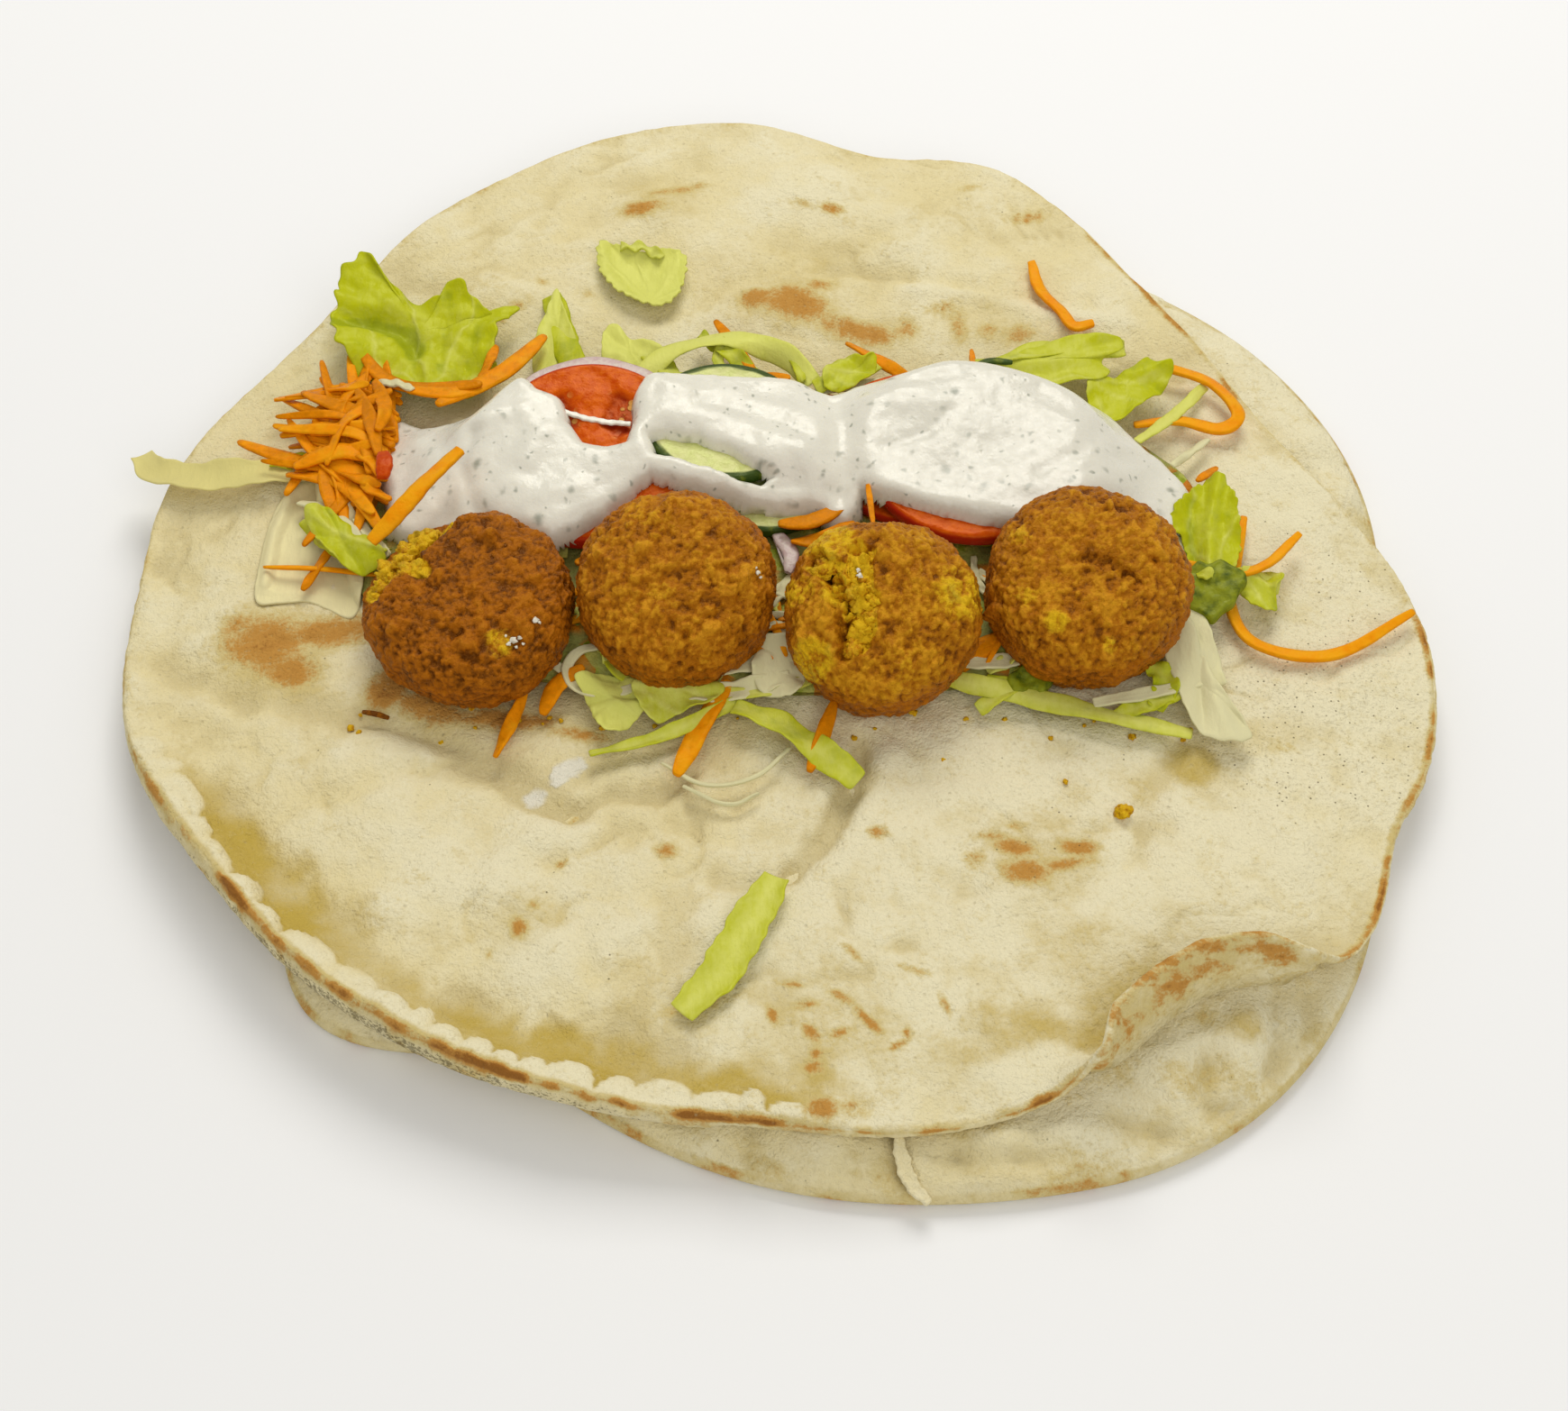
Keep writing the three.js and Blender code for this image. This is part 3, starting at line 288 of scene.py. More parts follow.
# How the sauce falls from the slices to the heap: past their edge, how steeply near its own edge
# and away from it, how far in that changes, and its distance from what it lies on.
SAUCE_DROP = {"past": 0.6, "drape": 5.5, "fill": 17, "fill_in": 9, "clear": 0.45}
CRUMBS = 34
LARGE_CRUMB = {"at": (75, -76), "rise": 1.1, "radius": 1.9}
BROWN_SHRED = [(-95, -49, 15.6), (-91.6, -49.8, 15.8), (-88.6, -50.8, 15.6)]
FLECKS = [  # falafel, place on its face, radius
    (1, 15.9, -8.3, 0.7), (1, 16.8, -8.6, 0.4), (1, 11.3, -13.4, 0.8), (1, 12.6, -12.8, 0.5),
    (1, 10.2, -14.4, 0.5), (1, 12, -14.9, 0.35), (1, 9.6, -12.6, 0.3), (1, 13.4, -14, 0.35),
    (2, 18.6, 1.2, 0.55), (2, 19.2, 0.2, 0.4), (2, 18.2, 2.2, 0.3), (3, -5.4, 6.4, 0.6),
    (3, -5.6, 7.6, 0.5),
]
SAUCE_SMEARS = [  # outlines
    [(-50.6, -68.4), (-52.4, -65.6), (-51, -62.4), (-48, -60.6), (-44.8, -60.2), (-43.6, -62.6),
     (-45, -65.4), (-47.6, -66.6)],
    [(-58, -72), (-57.4, -69.6), (-54.6, -67.8), (-52.4, -68.6), (-52.6, -71), (-55.4, -73)],
]
SINGLE_BITS = {  # path, width, thickness, material, slot, and how the strip is made
    "torn_dough": ([(23.6, -152.6, 10.6), (24.6, -157.6, 8.4), (26.4, -161.6, 6.2), (30, -165, 4.6)],
                   3.4, 1, "flatbread", "bread",
                   {"columns": 24, "lanes": 3, "taper": 0.35, "ragged": 0.14, "cup": 0.3, "seed": 6,
                    "high": 0.3}),
    "tomato_bit": ([(-95, 19, 27.4), (-94.2, 15, 28.2), (-94.4, 10.6, 27.6)],
                   4.2, 1.6, "cut_tomato", "tomato",
                   {"columns": 16, "lanes": 4, "taper": 0.5, "seed": 11, "skin": 0.4}),
    "cucumber_rind": ([(46, 46.4, 28), (51, 48.4, 28.2), (56.4, 48.2, 28)],
                      2.2, 1, "cut_cucumber", "cucumber",
                      {"columns": 20, "lanes": 2, "taper": 0.3, "seed": 9, "skin": 1}),
}
DRIZZLE = [(-54, 29.5, 31.4), (-48, 27, 31.3), (-42, 25.5, 31.2), (-36, 24.5, 31.6)]

# Shreds: points along each, width in the middle and, for leaves, how much they ruffle. Heights
# are raised to what lies below.
CARROTS = [
    ([(-93, -4, 24), (-97, 3, 23.8), (-103, 12, 22.8), (-113.5, 21, 20.4), (-124, 27, 18.4),
      (-133, 32, 17.2)], 4.4),
    ([(-104, 30, 24), (-124, 45, 19)], 2.6),
    ([(-101, 44, 25), (-118, 45, 20)], 3),
    ([(-73, 42, 27), (-88, 43, 24.4), (-98, 48, 22.6), (-105, 58, 22)], 4.2),
    ([(-84, 36, 26), (-69, 47, 25.4), (-59, 62, 23.4)], 5),
    ([(-74, 44, 25.4), (-71, 59, 22.8)], 3),
    ([(-92, 42, 25), (-80, 40, 26), (-70, 45, 25)], 4),
    ([(-104, 43, 24), (-99, 30, 26.4), (-96, 18, 27.4)], 3.8),
    ([(-102, 40, 25), (-114, 39, 21)], 2.8),
    ([(-97, 23, 26), (-108, 28, 22), (-120, 29, 18.4)], 3),
    ([(-97, 23, 27), (-111, 22, 21.4)], 3.2),
    ([(-107, 18, 22.4), (-95, 10, 26)], 3.2),
    ([(-100, 12, 24), (-92, 5, 26.5)], 2.8),
    ([(-100, 46, 24), (-96, 34, 27), (-97, 26, 27.6)], 3.8),
    ([(-108, 34, 21.6), (-100, 24, 25), (-98, 14, 25.6)], 3.6),
    ([(-110, 42, 20.6), (-102, 33, 24.6), (-97, 29, 26.6)], 3.4),
    ([(-106, 26, 22.6), (-98, 18, 26), (-95, 12, 26.4)], 3.4),
    ([(-95, 41, 26), (-103, 36, 24.6), (-108, 29, 22)], 3.2),
    ([(-103, 12, 22.6), (-96, 2, 25)], 3),
    ([(-58, -45, 18), (-64, -62, 16)], 3.2),
    ([(-45, -39, 19.4), (-51, -44, 18.8), (-54, -51, 17.2)], 4.2),
    ([(-12, -43, 19.4), (-18, -55, 18.4), (-23.5, -68, 17.4)], 5.2),
    ([(12, -48, 19.4), (9, -58, 18.6), (6, -67, 17.4)], 3.6),
    ([(52, -30, 19.4), (43, -37, 18.8), (34, -43, 18)], 4),
    ([(33, 45, 24), (25, 55, 21), (16, 64, 18.8)], 3.4),
    ([(-6, 44, 26), (-10, 56, 22.6), (-17, 72, 18.6)], 3.2),
    ([(47, 43, 27), (47, 58, 22.4)], 1.8),
    ([(15, 3, 27), (7, -2, 27), (-1, -2, 26)], 4.2),
    ([(17, -1, 25.4), (9, -6, 25), (2, -6, 24.4)], 3.8),
    ([(14, -9, 23.4), (4, -11, 23.8)], 3.2),
    ([(20, 8, 30), (20.6, -2, 31.6), (21, -8, 32.4)], 1.5),
    ([(99, 15, 22), (105, 22, 18.8)], 2.2),
    ([(-93, -12, 19), (-108, -9.4, 18.4), (-122, -8, 17.4)], 1.3),
    ([(-106, -3, 19), (-112, -15, 17.4)], 2.8),
    ([(40, -36, 18.4), (52, -30, 20.4)], 3),
    ([(-38, -4, 22.4), (-48, -12, 23.4)], 3.2),
    ([(-10, 47, 24), (2, 46, 25)], 3),
]
BUNDLE_SHREDS = {"count": 46, "middle": (-103, 26), "half": (9, 18), "long": (20, 40),
                 "wide": (2.2, 4.6), "high": 4.8, "bow": 0.3, "until": -93.5}
LETTUCE = [
    ([(8, 46, 23), (0, 56, 23), (-14, 61, 23.4), (-28, 56, 23.4), (-36, 47, 22.6)], 6.4, 1.5),
    ([(-6, 47, 24.4), (-13, 56, 23.4), (-21, 66, 19.4)], 4.6, 1.3),
    ([(5, 46, 23.4), (2, 56, 23), (-7, 62, 22.4)], 3, 0.6),
    ([(-12, 46, 23), (-16, 54, 23), (-14, 61, 22.6)], 3, 0.6),
    ([(8, 43, 24.4), (16, 50, 23), (24, 54, 21)], 5.2, 0.9),
    ([(40, 46, 24), (60, 56, 23), (74, 60, 21), (86, 62, 18.8)], 6.4, 0.8),
    ([(86, 29, 20.4), (96, 39, 19), (105, 50, 18)], 3.4, 0.3),
    ([(-50, 46, 22), (-54, 62, 20), (-59, 82, 17.8)], 7, 0.9),
    ([(-24, 45, 23.4), (-30, 54, 21.4), (-34, 60, 19.4)], 6, 1),
    ([(-42, 99, 18.4), (-36, 98, 19), (-31, 95, 18.6)], 3.4, 1),
    ([(-11, -50, 19), (-2, -54, 19.4), (7, -61, 19), (17, -69.6, 17.6)], 7.6, 0.9),
    ([(-10, -48, 18.6), (-20, -54, 18.4), (-30, -58.6, 17.8), (-43, -62, 17.2)], 3.8, 0.3),
    ([(8, -42, 19), (-6, -46, 18.8), (-22, -46, 18.4)], 3.4, 0.5),
    ([(35, -41, 19), (52, -46, 18.8), (72, -51.6, 18.4), (92, -56.4, 17.2)], 5.6, 0.4),
    ([(46, -42, 18.4), (60, -46, 18), (74, -52, 17.4)], 4.4, 0.8),
    ([(90, -46, 18.8), (82, -49, 18.2), (74, -52, 17.8)], 4.2, 0.5),
    ([(-92, -6, 21.4), (-103, -4, 20.4), (-113, 6, 18.8)], 7, 1.2),
    ([(94, -8, 20.4), (104, -13, 20.2), (116, -15, 18.8)], 5.6, 0.9),
    ([(84, -38, 19.4), (87, -44, 18.8), (84, -50, 18)], 6, 1),
    ([(-108, 20, 18.8), (-116, 24, 18.2), (-124, 24, 17.6)], 6, 0.5),
    ([(60, -36, 19), (52, -44, 18.6), (44, -50, 17.6)], 5, 1),
]
LETTUCE_PIECES = [  # outline, height, ruffle, paleness
    ([(107, -12), (112, -10.6), (117, -12.5), (114.6, -17), (114.5, -22), (110, -22.6),
      (106.5, -18)], 19.4, 0.9, 0.15),
    ([(-47, -43), (-44, -48), (-41, -56), (-36, -57), (-31, -51), (-28.5, -47), (-34, -42),
      (-41.5, -41)], 18.6, 1.3, 0.75),
    ([(-34, -45), (-27, -41), (-19, -41.5), (-12.8, -45), (-15.8, -49), (-22, -51.6), (-29, -54)],
     19, 1.1, 0.35),
    ([(-57.6, 82), (-59.8, 73.5), (-61.5, 66.5), (-62.6, 58.4), (-60, 50), (-50, 49),
      (-49.5, 57.7), (-52, 65.6), (-55, 74)], 18.8, 0.8, 0.6),
    ([(-42, 68), (-44.8, 65.5), (-45, 59.3), (-44, 50), (-36, 46), (-28, 47), (-28.3, 56.8),
      (-32.3, 61.8), (-38, 63)], 20.4, 1.1, 0.8),
    ([(-113, 4.6), (-108.7, 6.4), (-103, 2), (-98, -2), (-92, -10), (-98.4, -12.6), (-104, -9.4),
      (-110, -2)], 21.4, 1.4, 0.12),
    ([(42, 49), (54, 55), (65.5, 60), (75, 62), (85, 61), (83.2, 56), (79, 55), (81, 49),
      (72.8, 46), (62.9, 45), (51.7, 45)], 22.6, 1.3, 0.25),
    ([(75, 47), (82, 50), (90, 55.6), (92.6, 53), (97, 53), (94, 46), (88, 40), (82, 35), (76, 36)],
     21, 1.2, 0.05),
    ([(10, 48), (15, 52.8), (20, 52), (23, 54), (22.6, 48), (17, 43), (11, 42)], 24.4, 0.9, 0.1),
]
CABBAGE_PIECES = [  # the same
    ([(-7, -40), (-3.7, -33), (0, -27), (5, -29), (5, -44), (0.4, -48), (-5, -46)], 19.6, 0.8, 1),
    ([(92.5, -25), (95.5, -33), (98, -43.5), (102.4, -52), (105, -58.6), (100, -60), (94, -58),
      (90.6, -52), (89, -43.5), (87, -33)], 19, 0.8, 1),
]
CABBAGE = [
    ([(4, -34, 20.4), (-14, -38, 19.8), (-32, -43, 18.8)], 9, 0.8),
    ([(2, -42, 19.4), (-12, -46, 19), (-22, -47, 18.4)], 5, 0.6),
    ([(-30, -43, 18.8), (-38, -46, 18.6), (-46, -45, 18.8), (-49, -39.6, 19.4), (-46, -35, 20),
      (-41, -34, 20)], 2.8, 0.1),
    ([(92, -14, 21), (96, -30, 19.8), (99, -44, 18.4)], 5, 0.5),
    ([(98, -41.6, 18.8), (88, -45, 19), (70, -48.6, 18.4)], 3.4, 0.3),
    ([(-94, -9, 22), (-99, -4, 21.8), (-104, 3, 21), (-109.6, 8, 20), (-115.6, 11, 18.8)], 3.4, 0.4),
    ([(-92, -8, 21.4), (-96, -3, 21.6), (-101, 4, 20.6)], 2.8, 0.4),
    ([(90, -36, 19), (92, -46, 18.2)], 3.6, 0.4),
    ([(60, -36, 19.4), (44, -38, 19), (38, -34, 19.4)], 4.4, 0.4),
    ([(-52, -38, 18.4), (-40, -46, 18), (-30, -48, 17.6)], 3, 0.3),
    ([(-27, -64, 17), (-17, -70, 16.8), (-6, -68, 17), (2, -60, 17.2)], 1.1, 0.1),
    ([(-22, -70, 16.6), (-12, -75, 16.5), (-5, -72, 16.5)], 1, 0.1),
    ([(30, 47, 22.4), (16, 46, 22), (8, 44, 22.4)], 3.4, 0.5),
    ([(94, 22, 19.4), (104, 32, 18)], 2.2, 0.3),
    ([(-100, 46, 23), (-94, 44, 25), (-90, 41, 26)], 2.4, 0.4),
]
# How the shreds of each kind are cut: thickness, how crisp their edges are, how much of the width
# is left at their ends, their lanes of faces, and the lengths and widths of the seeded ones. What
# lettuce and cabbage have in common is in SOFT.
SOFT = {"crisp": 0, "taper": 0.62, "full": 0.5, "lanes": 4, "twist": 0.5, "ragged": 0.07,
        "shade": 0.3, "node": "salad_heap"}
SHREDS = {
    "carrot": {"crisp": 0.92, "taper": 0.13, "full": 0.42, "lanes": 2, "twist": 0.8, "ragged": 0.04,
               "shade": 0.8, "node": "carrot_bundle_left", "slot": "carrot", "thick": 0.65,
               "long": (12, 24), "wide": (1.4, 2.6), "ruffle": 0},
    "lettuce": {**SOFT, "slot": "lettuce", "thick": 0.55, "long": (10, 24), "wide": (2.2, 6),
                "ruffle": 0.9},
    "cabbage": {**SOFT, "slot": "pale_lettuce", "thick": 0.7, "long": (9, 20), "wide": (1.4, 4),
                "ruffle": 0.5},
}
SEEDED = {"share": (0.35, 0.93), "bow": 0.25, "within": ((-95, 95), (-41, 44)), "rise": (0.2, 1.6)}
LOOSE_CARROTS = {  # points, width, thickness
    "carrot_shred_on_sauce": ([(-95, -10, 28.8), (-89, -4, 32), (-83, 3, 34.6), (-75, 11.6, 36.8)],
                              4.4, 1.7),
    "carrot_shred_back": ([(64.4, 95, 17), (66, 85, 17), (71, 77, 17), (74, 71.6, 17),
                           (79, 72.8, 17)], 3.2, 1.5),
    "carrot_curl_back": ([(86, 36, 18.8), (97, 37.6, 18.6), (107, 35, 18.4), (112, 40, 18.6),
                          (106, 50, 19), (94, 56, 19)], 3.4, 1.7),
    "carrot_curl_right": ([(110, 7, 18), (106.4, -8, 18.4), (104, -20, 17.8), (109, -31, 17.4),
                           (126, -34, 17.2), (147, -20, 15.6)], 2.9, 1.7),
    "carrot_shred_right": ([(94, -10.6, 22), (104, -13.6, 21.8), (113, -10.4, 21.4),
                            (122, -0.4, 20.6)], 2.5, 1.4),
}

# Leaves: outline, height in the middle, slope, ruffle, waves round the rim, dish, paleness, the
# foot of the ribs, and folds as for the breads.
# The grooves of the leaves' folds are painted darker: a painted shade.
LEAVES = {
    "lettuce_leaf_left": {
        "outline": [(-106, 88), (-110.5, 85), (-112.4, 80.5), (-112, 74), (-113, 68), (-111, 60.6),
                    (-108, 56), (-105, 51.6), (-99, 47), (-92, 44), (-85.6, 42.6), (-79, 44),
                    (-73.8, 48), (-71.4, 53.5), (-71.7, 60.6), (-70, 68), (-66, 73), (-70, 74),
                    (-73, 71), (-76.7, 74), (-80.4, 78), (-84.4, 79.4), (-86.4, 75.5), (-90.4, 74),
                    (-94, 75), (-97.5, 78), (-102, 83)],
        "level": 21.6, "slope": (-0.04, 0.10), "ruffle": 2, "waves": 5, "dish": 1.6,
        "pale": 0.1, "spine": (-88, 44),
        "folds": [([(-113, 66), (-104, 68), (-96, 66), (-92, 60)], 3, 2.4),
                  ([(-112, 74), (-103, 73), (-94, 70)], 3.4, -1.6),
                  ([(-94, 74), (-92, 60), (-90, 46)], 2, 0.9),
                  ([(-84, 76), (-85, 60), (-86, 48)], 1.8, 0.8),
                  ([(-76, 72), (-78, 58), (-80, 48)], 2, 0.9)]},
    "lettuce_leaf_back": {
        "outline": [(-47, 101), (-48, 97), (-46.8, 90.4), (-43.5, 84.8), (-40, 81.2), (-35.2, 79),
                    (-30.6, 78.3), (-27.2, 81.5), (-25.5, 86.4), (-24.7, 92), (-25.4, 96.7),
                    (-30, 98.4), (-35.8, 97), (-39.3, 99), (-43, 100)],
        "level": 16.4, "slope": (0, 0.02), "ruffle": 0.4, "waves": 2, "dish": 1.7,
        "pale": 0.78, "spine": (-34, 80), "folds": [([(-47, 100), (-45, 90), (-40, 82)], 1.8, -0.9)]},
    "lettuce_leaf_right": {
        "outline": [(104, 15.4), (100, 13.6), (96, 10), (92.4, 5), (91, 0), (93.5, -2), (94.6, -5.5),
                    (95, -11), (96.5, -16), (101, -16), (105, -12), (107.4, -5.5), (107.6, 1.4),
                    (107, 9)],
        "level": 21.8, "slope": (0.02, 0.05), "ruffle": 1.3, "waves": 3, "dish": 0.8,
        "pale": 0.06, "spine": (100, -15),
        "folds": [([(104, 15), (101, 2), (99, -14)], 1.8, -1.8),
                  ([(97, 8), (96, -2), (97, -12)], 1.6, 1)]},
    "pale_leaf_left": {
        "outline": [(-112, 25), (-117.6, 20), (-121.4, 13), (-123, 4), (-123.6, -6), (-123.4, -15),
                    (-121.6, -17.6), (-117, -17), (-111, -16.4), (-106, -18.6), (-100, -21), (-98, -12),
                    (-99, 0), (-103, 10), (-107, 19)],
        "level": 14.9, "slope": (0, 0), "ruffle": 0.1, "waves": 3, "dish": -0.9,
        "pale": 1, "spine": (-110, 20),
        "folds": [([(-112, 23), (-118, 16), (-121, 4), (-121.6, -12)], 1.9, -2),
                  ([(-121, -14), (-113, -14), (-106, -16)], 1.2, -0.4)]},
}
STRIPS = {  # single wide strips: points, width, ruffle, paleness
    "lettuce_strip_left": ([(-112, 22, 18.4), (-126, 21, 18.2), (-141, 20.6, 17.2), (-152, 24, 15.4),
                            (-157, 30.5, 14)], 9, 0.7, 1.25),
    "lettuce_strip_front": ([(-1, -94, 16.8), (-7, -106, 17), (-13, -118, 16.8), (-21, -127.5, 16.4)],
                            9.4, 0.35, 0.32),
}


# ==== Settings ====

def size(name, description, default):
    """A length, given in millimetres and kept in metres."""
    return FloatProperty(name=name, description=description, default=default * MM, unit="LENGTH",
                         precision=5)


def tint(what, default):
    """A colour, named for what has it."""
    return FloatVectorProperty(name=what.capitalize(), description="Colour of the " + what,
                               default=default, size=3, subtype="COLOR", min=0, max=1)


class WRAP_PG_bread(bpy.types.PropertyGroup):
    scallop: FloatProperty(name="Rim lobes", description="How strongly the lobes of the rim are puffed",
                           default=1.0, min=0, max=2)
    wrinkle: size("Fine wrinkles", "Height of the fine unevenness of the bread", 0.62)
    cream: tint("pale dough", (0.785, 0.682, 0.392))
    flour: tint("floured dough", (0.835, 0.770, 0.545))
    shade: tint("bare dough", (0.69, 0.58, 0.30))
    gold: tint("golden dough", (0.52, 0.375, 0.066))
    toast: tint("toasted patches", (0.53, 0.25, 0.045))
    deep: tint("darkest toasted places", (0.27, 0.10, 0.016))
    crease_shade: tint("painted shade in folds, pores and on the edge", (0.52, 0.435, 0.235))
    char: tint("burnt specks", (0.105, 0.078, 0.03))
    smear: tint("thin smears of sauce", (0.80, 0.78, 0.70))


class WRAP_PG_falafel(bpy.types.PropertyGroup):
    crumb: size("Crumb", "Distance between the larger crumbs of the crust", 1.9)
    crag: size("Crags", "Height of the crust's lumps", 1.1)
    cuts: IntProperty(name="Cuts", description="Cuts along each edge of the starting cube",
                      default=88, min=8, max=90)
    dark: tint("pits of the crust, with painted shade", (0.12, 0.030, 0.002))
    brown: tint("fried crust", (0.40, 0.128, 0.0035))
    light: tint("raised crumbs, with painted light", (0.61, 0.25, 0.012))
    gold: tint("broken inside", (0.76, 0.47, 0.012))
    herbs: tint("green places of the inside", (0.40, 0.33, 0.035))
    sides: tint("redder sides, with painted shade", (0.40, 0.112, 0.003))
    fleck: tint("white flecks", (0.86, 0.84, 0.76))
    fleck_shade: tint("duller places of the flecks", (0.62, 0.58, 0.48))


class WRAP_PG_sauce(bpy.types.PropertyGroup):
    thick: size("Thickness", "Thickness of the sauce away from its edge", 3.1)
    lip: size("Edge", "How far in the rounded edge reaches", 3.0)
    white: tint("yogurt", (0.795, 0.772, 0.685))
    herb: tint("fine herbs", (0.24, 0.26, 0.205))


class WRAP_PG_salad(bpy.types.PropertyGroup):
    carrot: tint("carrot", (0.95, 0.315, 0.003))
    carrot_light: tint("lighter carrot", (0.96, 0.46, 0.010))
    green: tint("green leaf", (0.55, 0.58, 0.006))
    dark: tint("darkest leaf and painted shade", (0.27, 0.34, 0.006))
    pale: tint("pale ribs and leaves", (0.76, 0.77, 0.19))
    cabbage: tint("cabbage", (0.79, 0.75, 0.47))
    inner: tint("inner leaf", (0.77, 0.66, 0.33))
    inner_rib: tint("inner leaf's ribs", (0.80, 0.72, 0.42))
    inner_dark: tint("inner leaf's darker places", (0.73, 0.62, 0.30))
    strip_rib: tint("pale strip's ribs", (0.77, 0.69, 0.28))
    tomato: tint("tomato", (0.50, 0.054, 0.002))
    tomato_light: tint("lighter tomato", (0.66, 0.12, 0.003))
    tomato_skin: tint("tomato's skin", (0.45, 0.022, 0.006))
    gel: tint("jelly round the seeds", (0.44, 0.05, 0.003))
    gel_dark: tint("deeper jelly", (0.22, 0.011, 0.002))
    seeds: tint("tomato's seeds", (0.72, 0.42, 0.10))
    skin: tint("cucumber's skin", (0.022, 0.05, 0.003))
    skin_light: tint("cucumber's lighter skin", (0.24, 0.27, 0.008))
    flesh: tint("cucumber", (0.55, 0.58, 0.20))
    flesh_light: tint("lighter cucumber", (0.66, 0.66, 0.30))
    core: tint("cucumber's core", (0.45, 0.50, 0.13))
    pips: tint("pips in the core", (0.72, 0.70, 0.38))
    onion: tint("onion", (0.72, 0.54, 0.53))
    onion_light: tint("paler onion", (0.80, 0.69, 0.62))
    onion_skin: tint("onion's skin side", (0.45, 0.18, 0.22))
    scattered: IntProperty(name="Scattered shreds", description="Shreds of each kind round the heap",
                           default=44, min=0, max=200)


class WRAP_PG_stage(bpy.types.PropertyGroup):
    lens: FloatProperty(name="Lens", description="Focal length on a 36 mm sensor, in millimetres",
                        default=59.59)
    camera: FloatVectorProperty(name="Camera", description="Place of the camera", size=3,
                                default=(0.00043, -0.3985, 0.4869), unit="LENGTH")
    pitch: FloatProperty(name="Pitch", description="How far the camera looks down", subtype="ANGLE",
                         default=math.radians(53.3))
    floor: tint("floor", (0.90, 0.91, 0.95))
    light: tint("light", (1.0, 0.975, 0.90))
    key: FloatProperty(name="Key light", description="Power of the large light behind, in watts",
                       default=9.0)
    front: FloatProperty(name="Front light", description="Power of the light in front, in watts",
                         default=5.0)
    fill: FloatProperty(name="Sky", description="Strength of the even light all round", default=0.47,
                        min=0)


GROUPS = {"bread": WRAP_PG_bread, "falafel": WRAP_PG_falafel, "sauce": WRAP_PG_sauce,
          "salad": WRAP_PG_salad, "stage": WRAP_PG_stage}


def settings(name):
    return getattr(bpy.context.scene, "wrap_" + name)


# ==== Numbers over many points at once ====

def smooth(share):
    """Eases from 0 to 1."""
    share = np.clip(share, 0, 1)
    return share * share * (3 - 2 * share)


def arch(share):
    """A quarter circle from 0 to 1."""
    return np.sqrt(1 - (1 - np.clip(share, 0, 1)) ** 2)


def lerp(start, end, share):
    return start + (end - start) * share


def lobe(angle, at, width):
    """A cosine bump round an angle, 1 in its middle and 0 at half its width."""
    off = np.abs((angle - at + 540) % 360 - 180)
    return np.where(off < width / 2, 0.5 + 0.5 * np.cos(2 * np.pi * off / width), 0)


def plateau(angle, at, width):
    """A bump with a flat top."""
    return smooth(2.2 * lobe(angle, at, width))


def cloud(points, grain, seed=0, octaves=3):
    """Fractal noise from about -1 to 1, with features of about `grain` millimetres."""
    shift = Vector((17.3 * seed + 0.4, 5.1 * seed + 0.7, 9.7 * seed + 0.2))
    flat = np.reshape(points, (-1, 3)) / grain
    values = [noise.fractal(Vector(p) + shift, 1.0, 2.0, octaves) for p in flat.tolist()]
    return np.reshape(values, np.shape(points)[:-1])


def crumbs(points, grain, seed=0):
    """Rounded crumbs packed side by side: 1 on top of each and 0 between them."""
    shift = Vector((3.9 * seed, 8.3 * seed, 1.7 * seed))
    flat = np.reshape(points, (-1, 3)) / grain
    near = [noise.voronoi(Vector(p) + shift)[0][0] for p in flat.tolist()]
    return 1 - np.clip(np.array(near) / 0.75, 0, 1) ** 2


def off_line(x, y, path):
    """How far each point is from a line through `path`."""
    best = np.full(np.shape(x), np.inf)
    for (x0, y0), (x1, y1) in zip(path, path[1:]):
        along = ((x - x0) * (x1 - x0) + (y - y0) * (y1 - y0)) / ((x1 - x0) ** 2 + (y1 - y0) ** 2)
        along = np.clip(along, 0, 1)
        best = np.minimum(best, np.hypot(x - lerp(x0, x1, along), y - lerp(y0, y1, along)))
    return best


def inside(x, y, outline):
    """Distance to an outline's edge, positive inside."""
    ring = outline + outline[:1]
    within = np.zeros(np.shape(x), bool)
    for (x0, y0), (x1, y1) in zip(ring, ring[1:]):
        crosses = (y0 > y) != (y1 > y)
        at = x0 + (x1 - x0) * (y - y0) / (y1 - y0 if y1 != y0 else 1e-9)
        within ^= crosses & (x < at)
    distance = off_line(x, y, ring)
    return np.where(within, distance, -distance)


def blots(x, y, marks):
    """Soft ellipses: near 1 in the middle, half on the edge."""
    total = np.zeros(np.shape(x))
    for px, py, long, wide, turn, strength in marks:
        c, s = math.cos(math.radians(turn)), math.sin(math.radians(turn))
        dx, dy = x - px, y - py
        away = np.hypot((dx * c + dy * s) / long, (dy * c - dx * s) / wide)
        total = np.maximum(total, strength * smooth(1.12 - 0.62 * away))
    return total


def spots(x, y, marks):
    """Soft round spots."""
    total = np.zeros(np.shape(x))
    for px, py, radius, strength in marks:
        total = np.maximum(total, strength * smooth(1.4 - np.hypot(x - px, y - py) / radius))
    return total


def xyz(x, y, z):
    return np.stack([x, y, z], axis=-1)


def on_plane(x, y):
    return xyz(x, y, 0 * x)


def spline(keys):
    """Close points along a smooth line through all but the first and last of `keys`."""
    keys = np.array(keys, float)
    t = np.linspace(0, 1, 24, endpoint=False)[:, None]
    parts = [0.5 * (2 * b + (c - a) * t + (2 * a - 5 * b + 4 * c - d) * t ** 2
                    + (3 * b - a - 3 * c + d) * t ** 3)
             for a, b, c, d in zip(keys, keys[1:], keys[2:], keys[3:])]
    return np.vstack([*parts, keys[-2][None]])


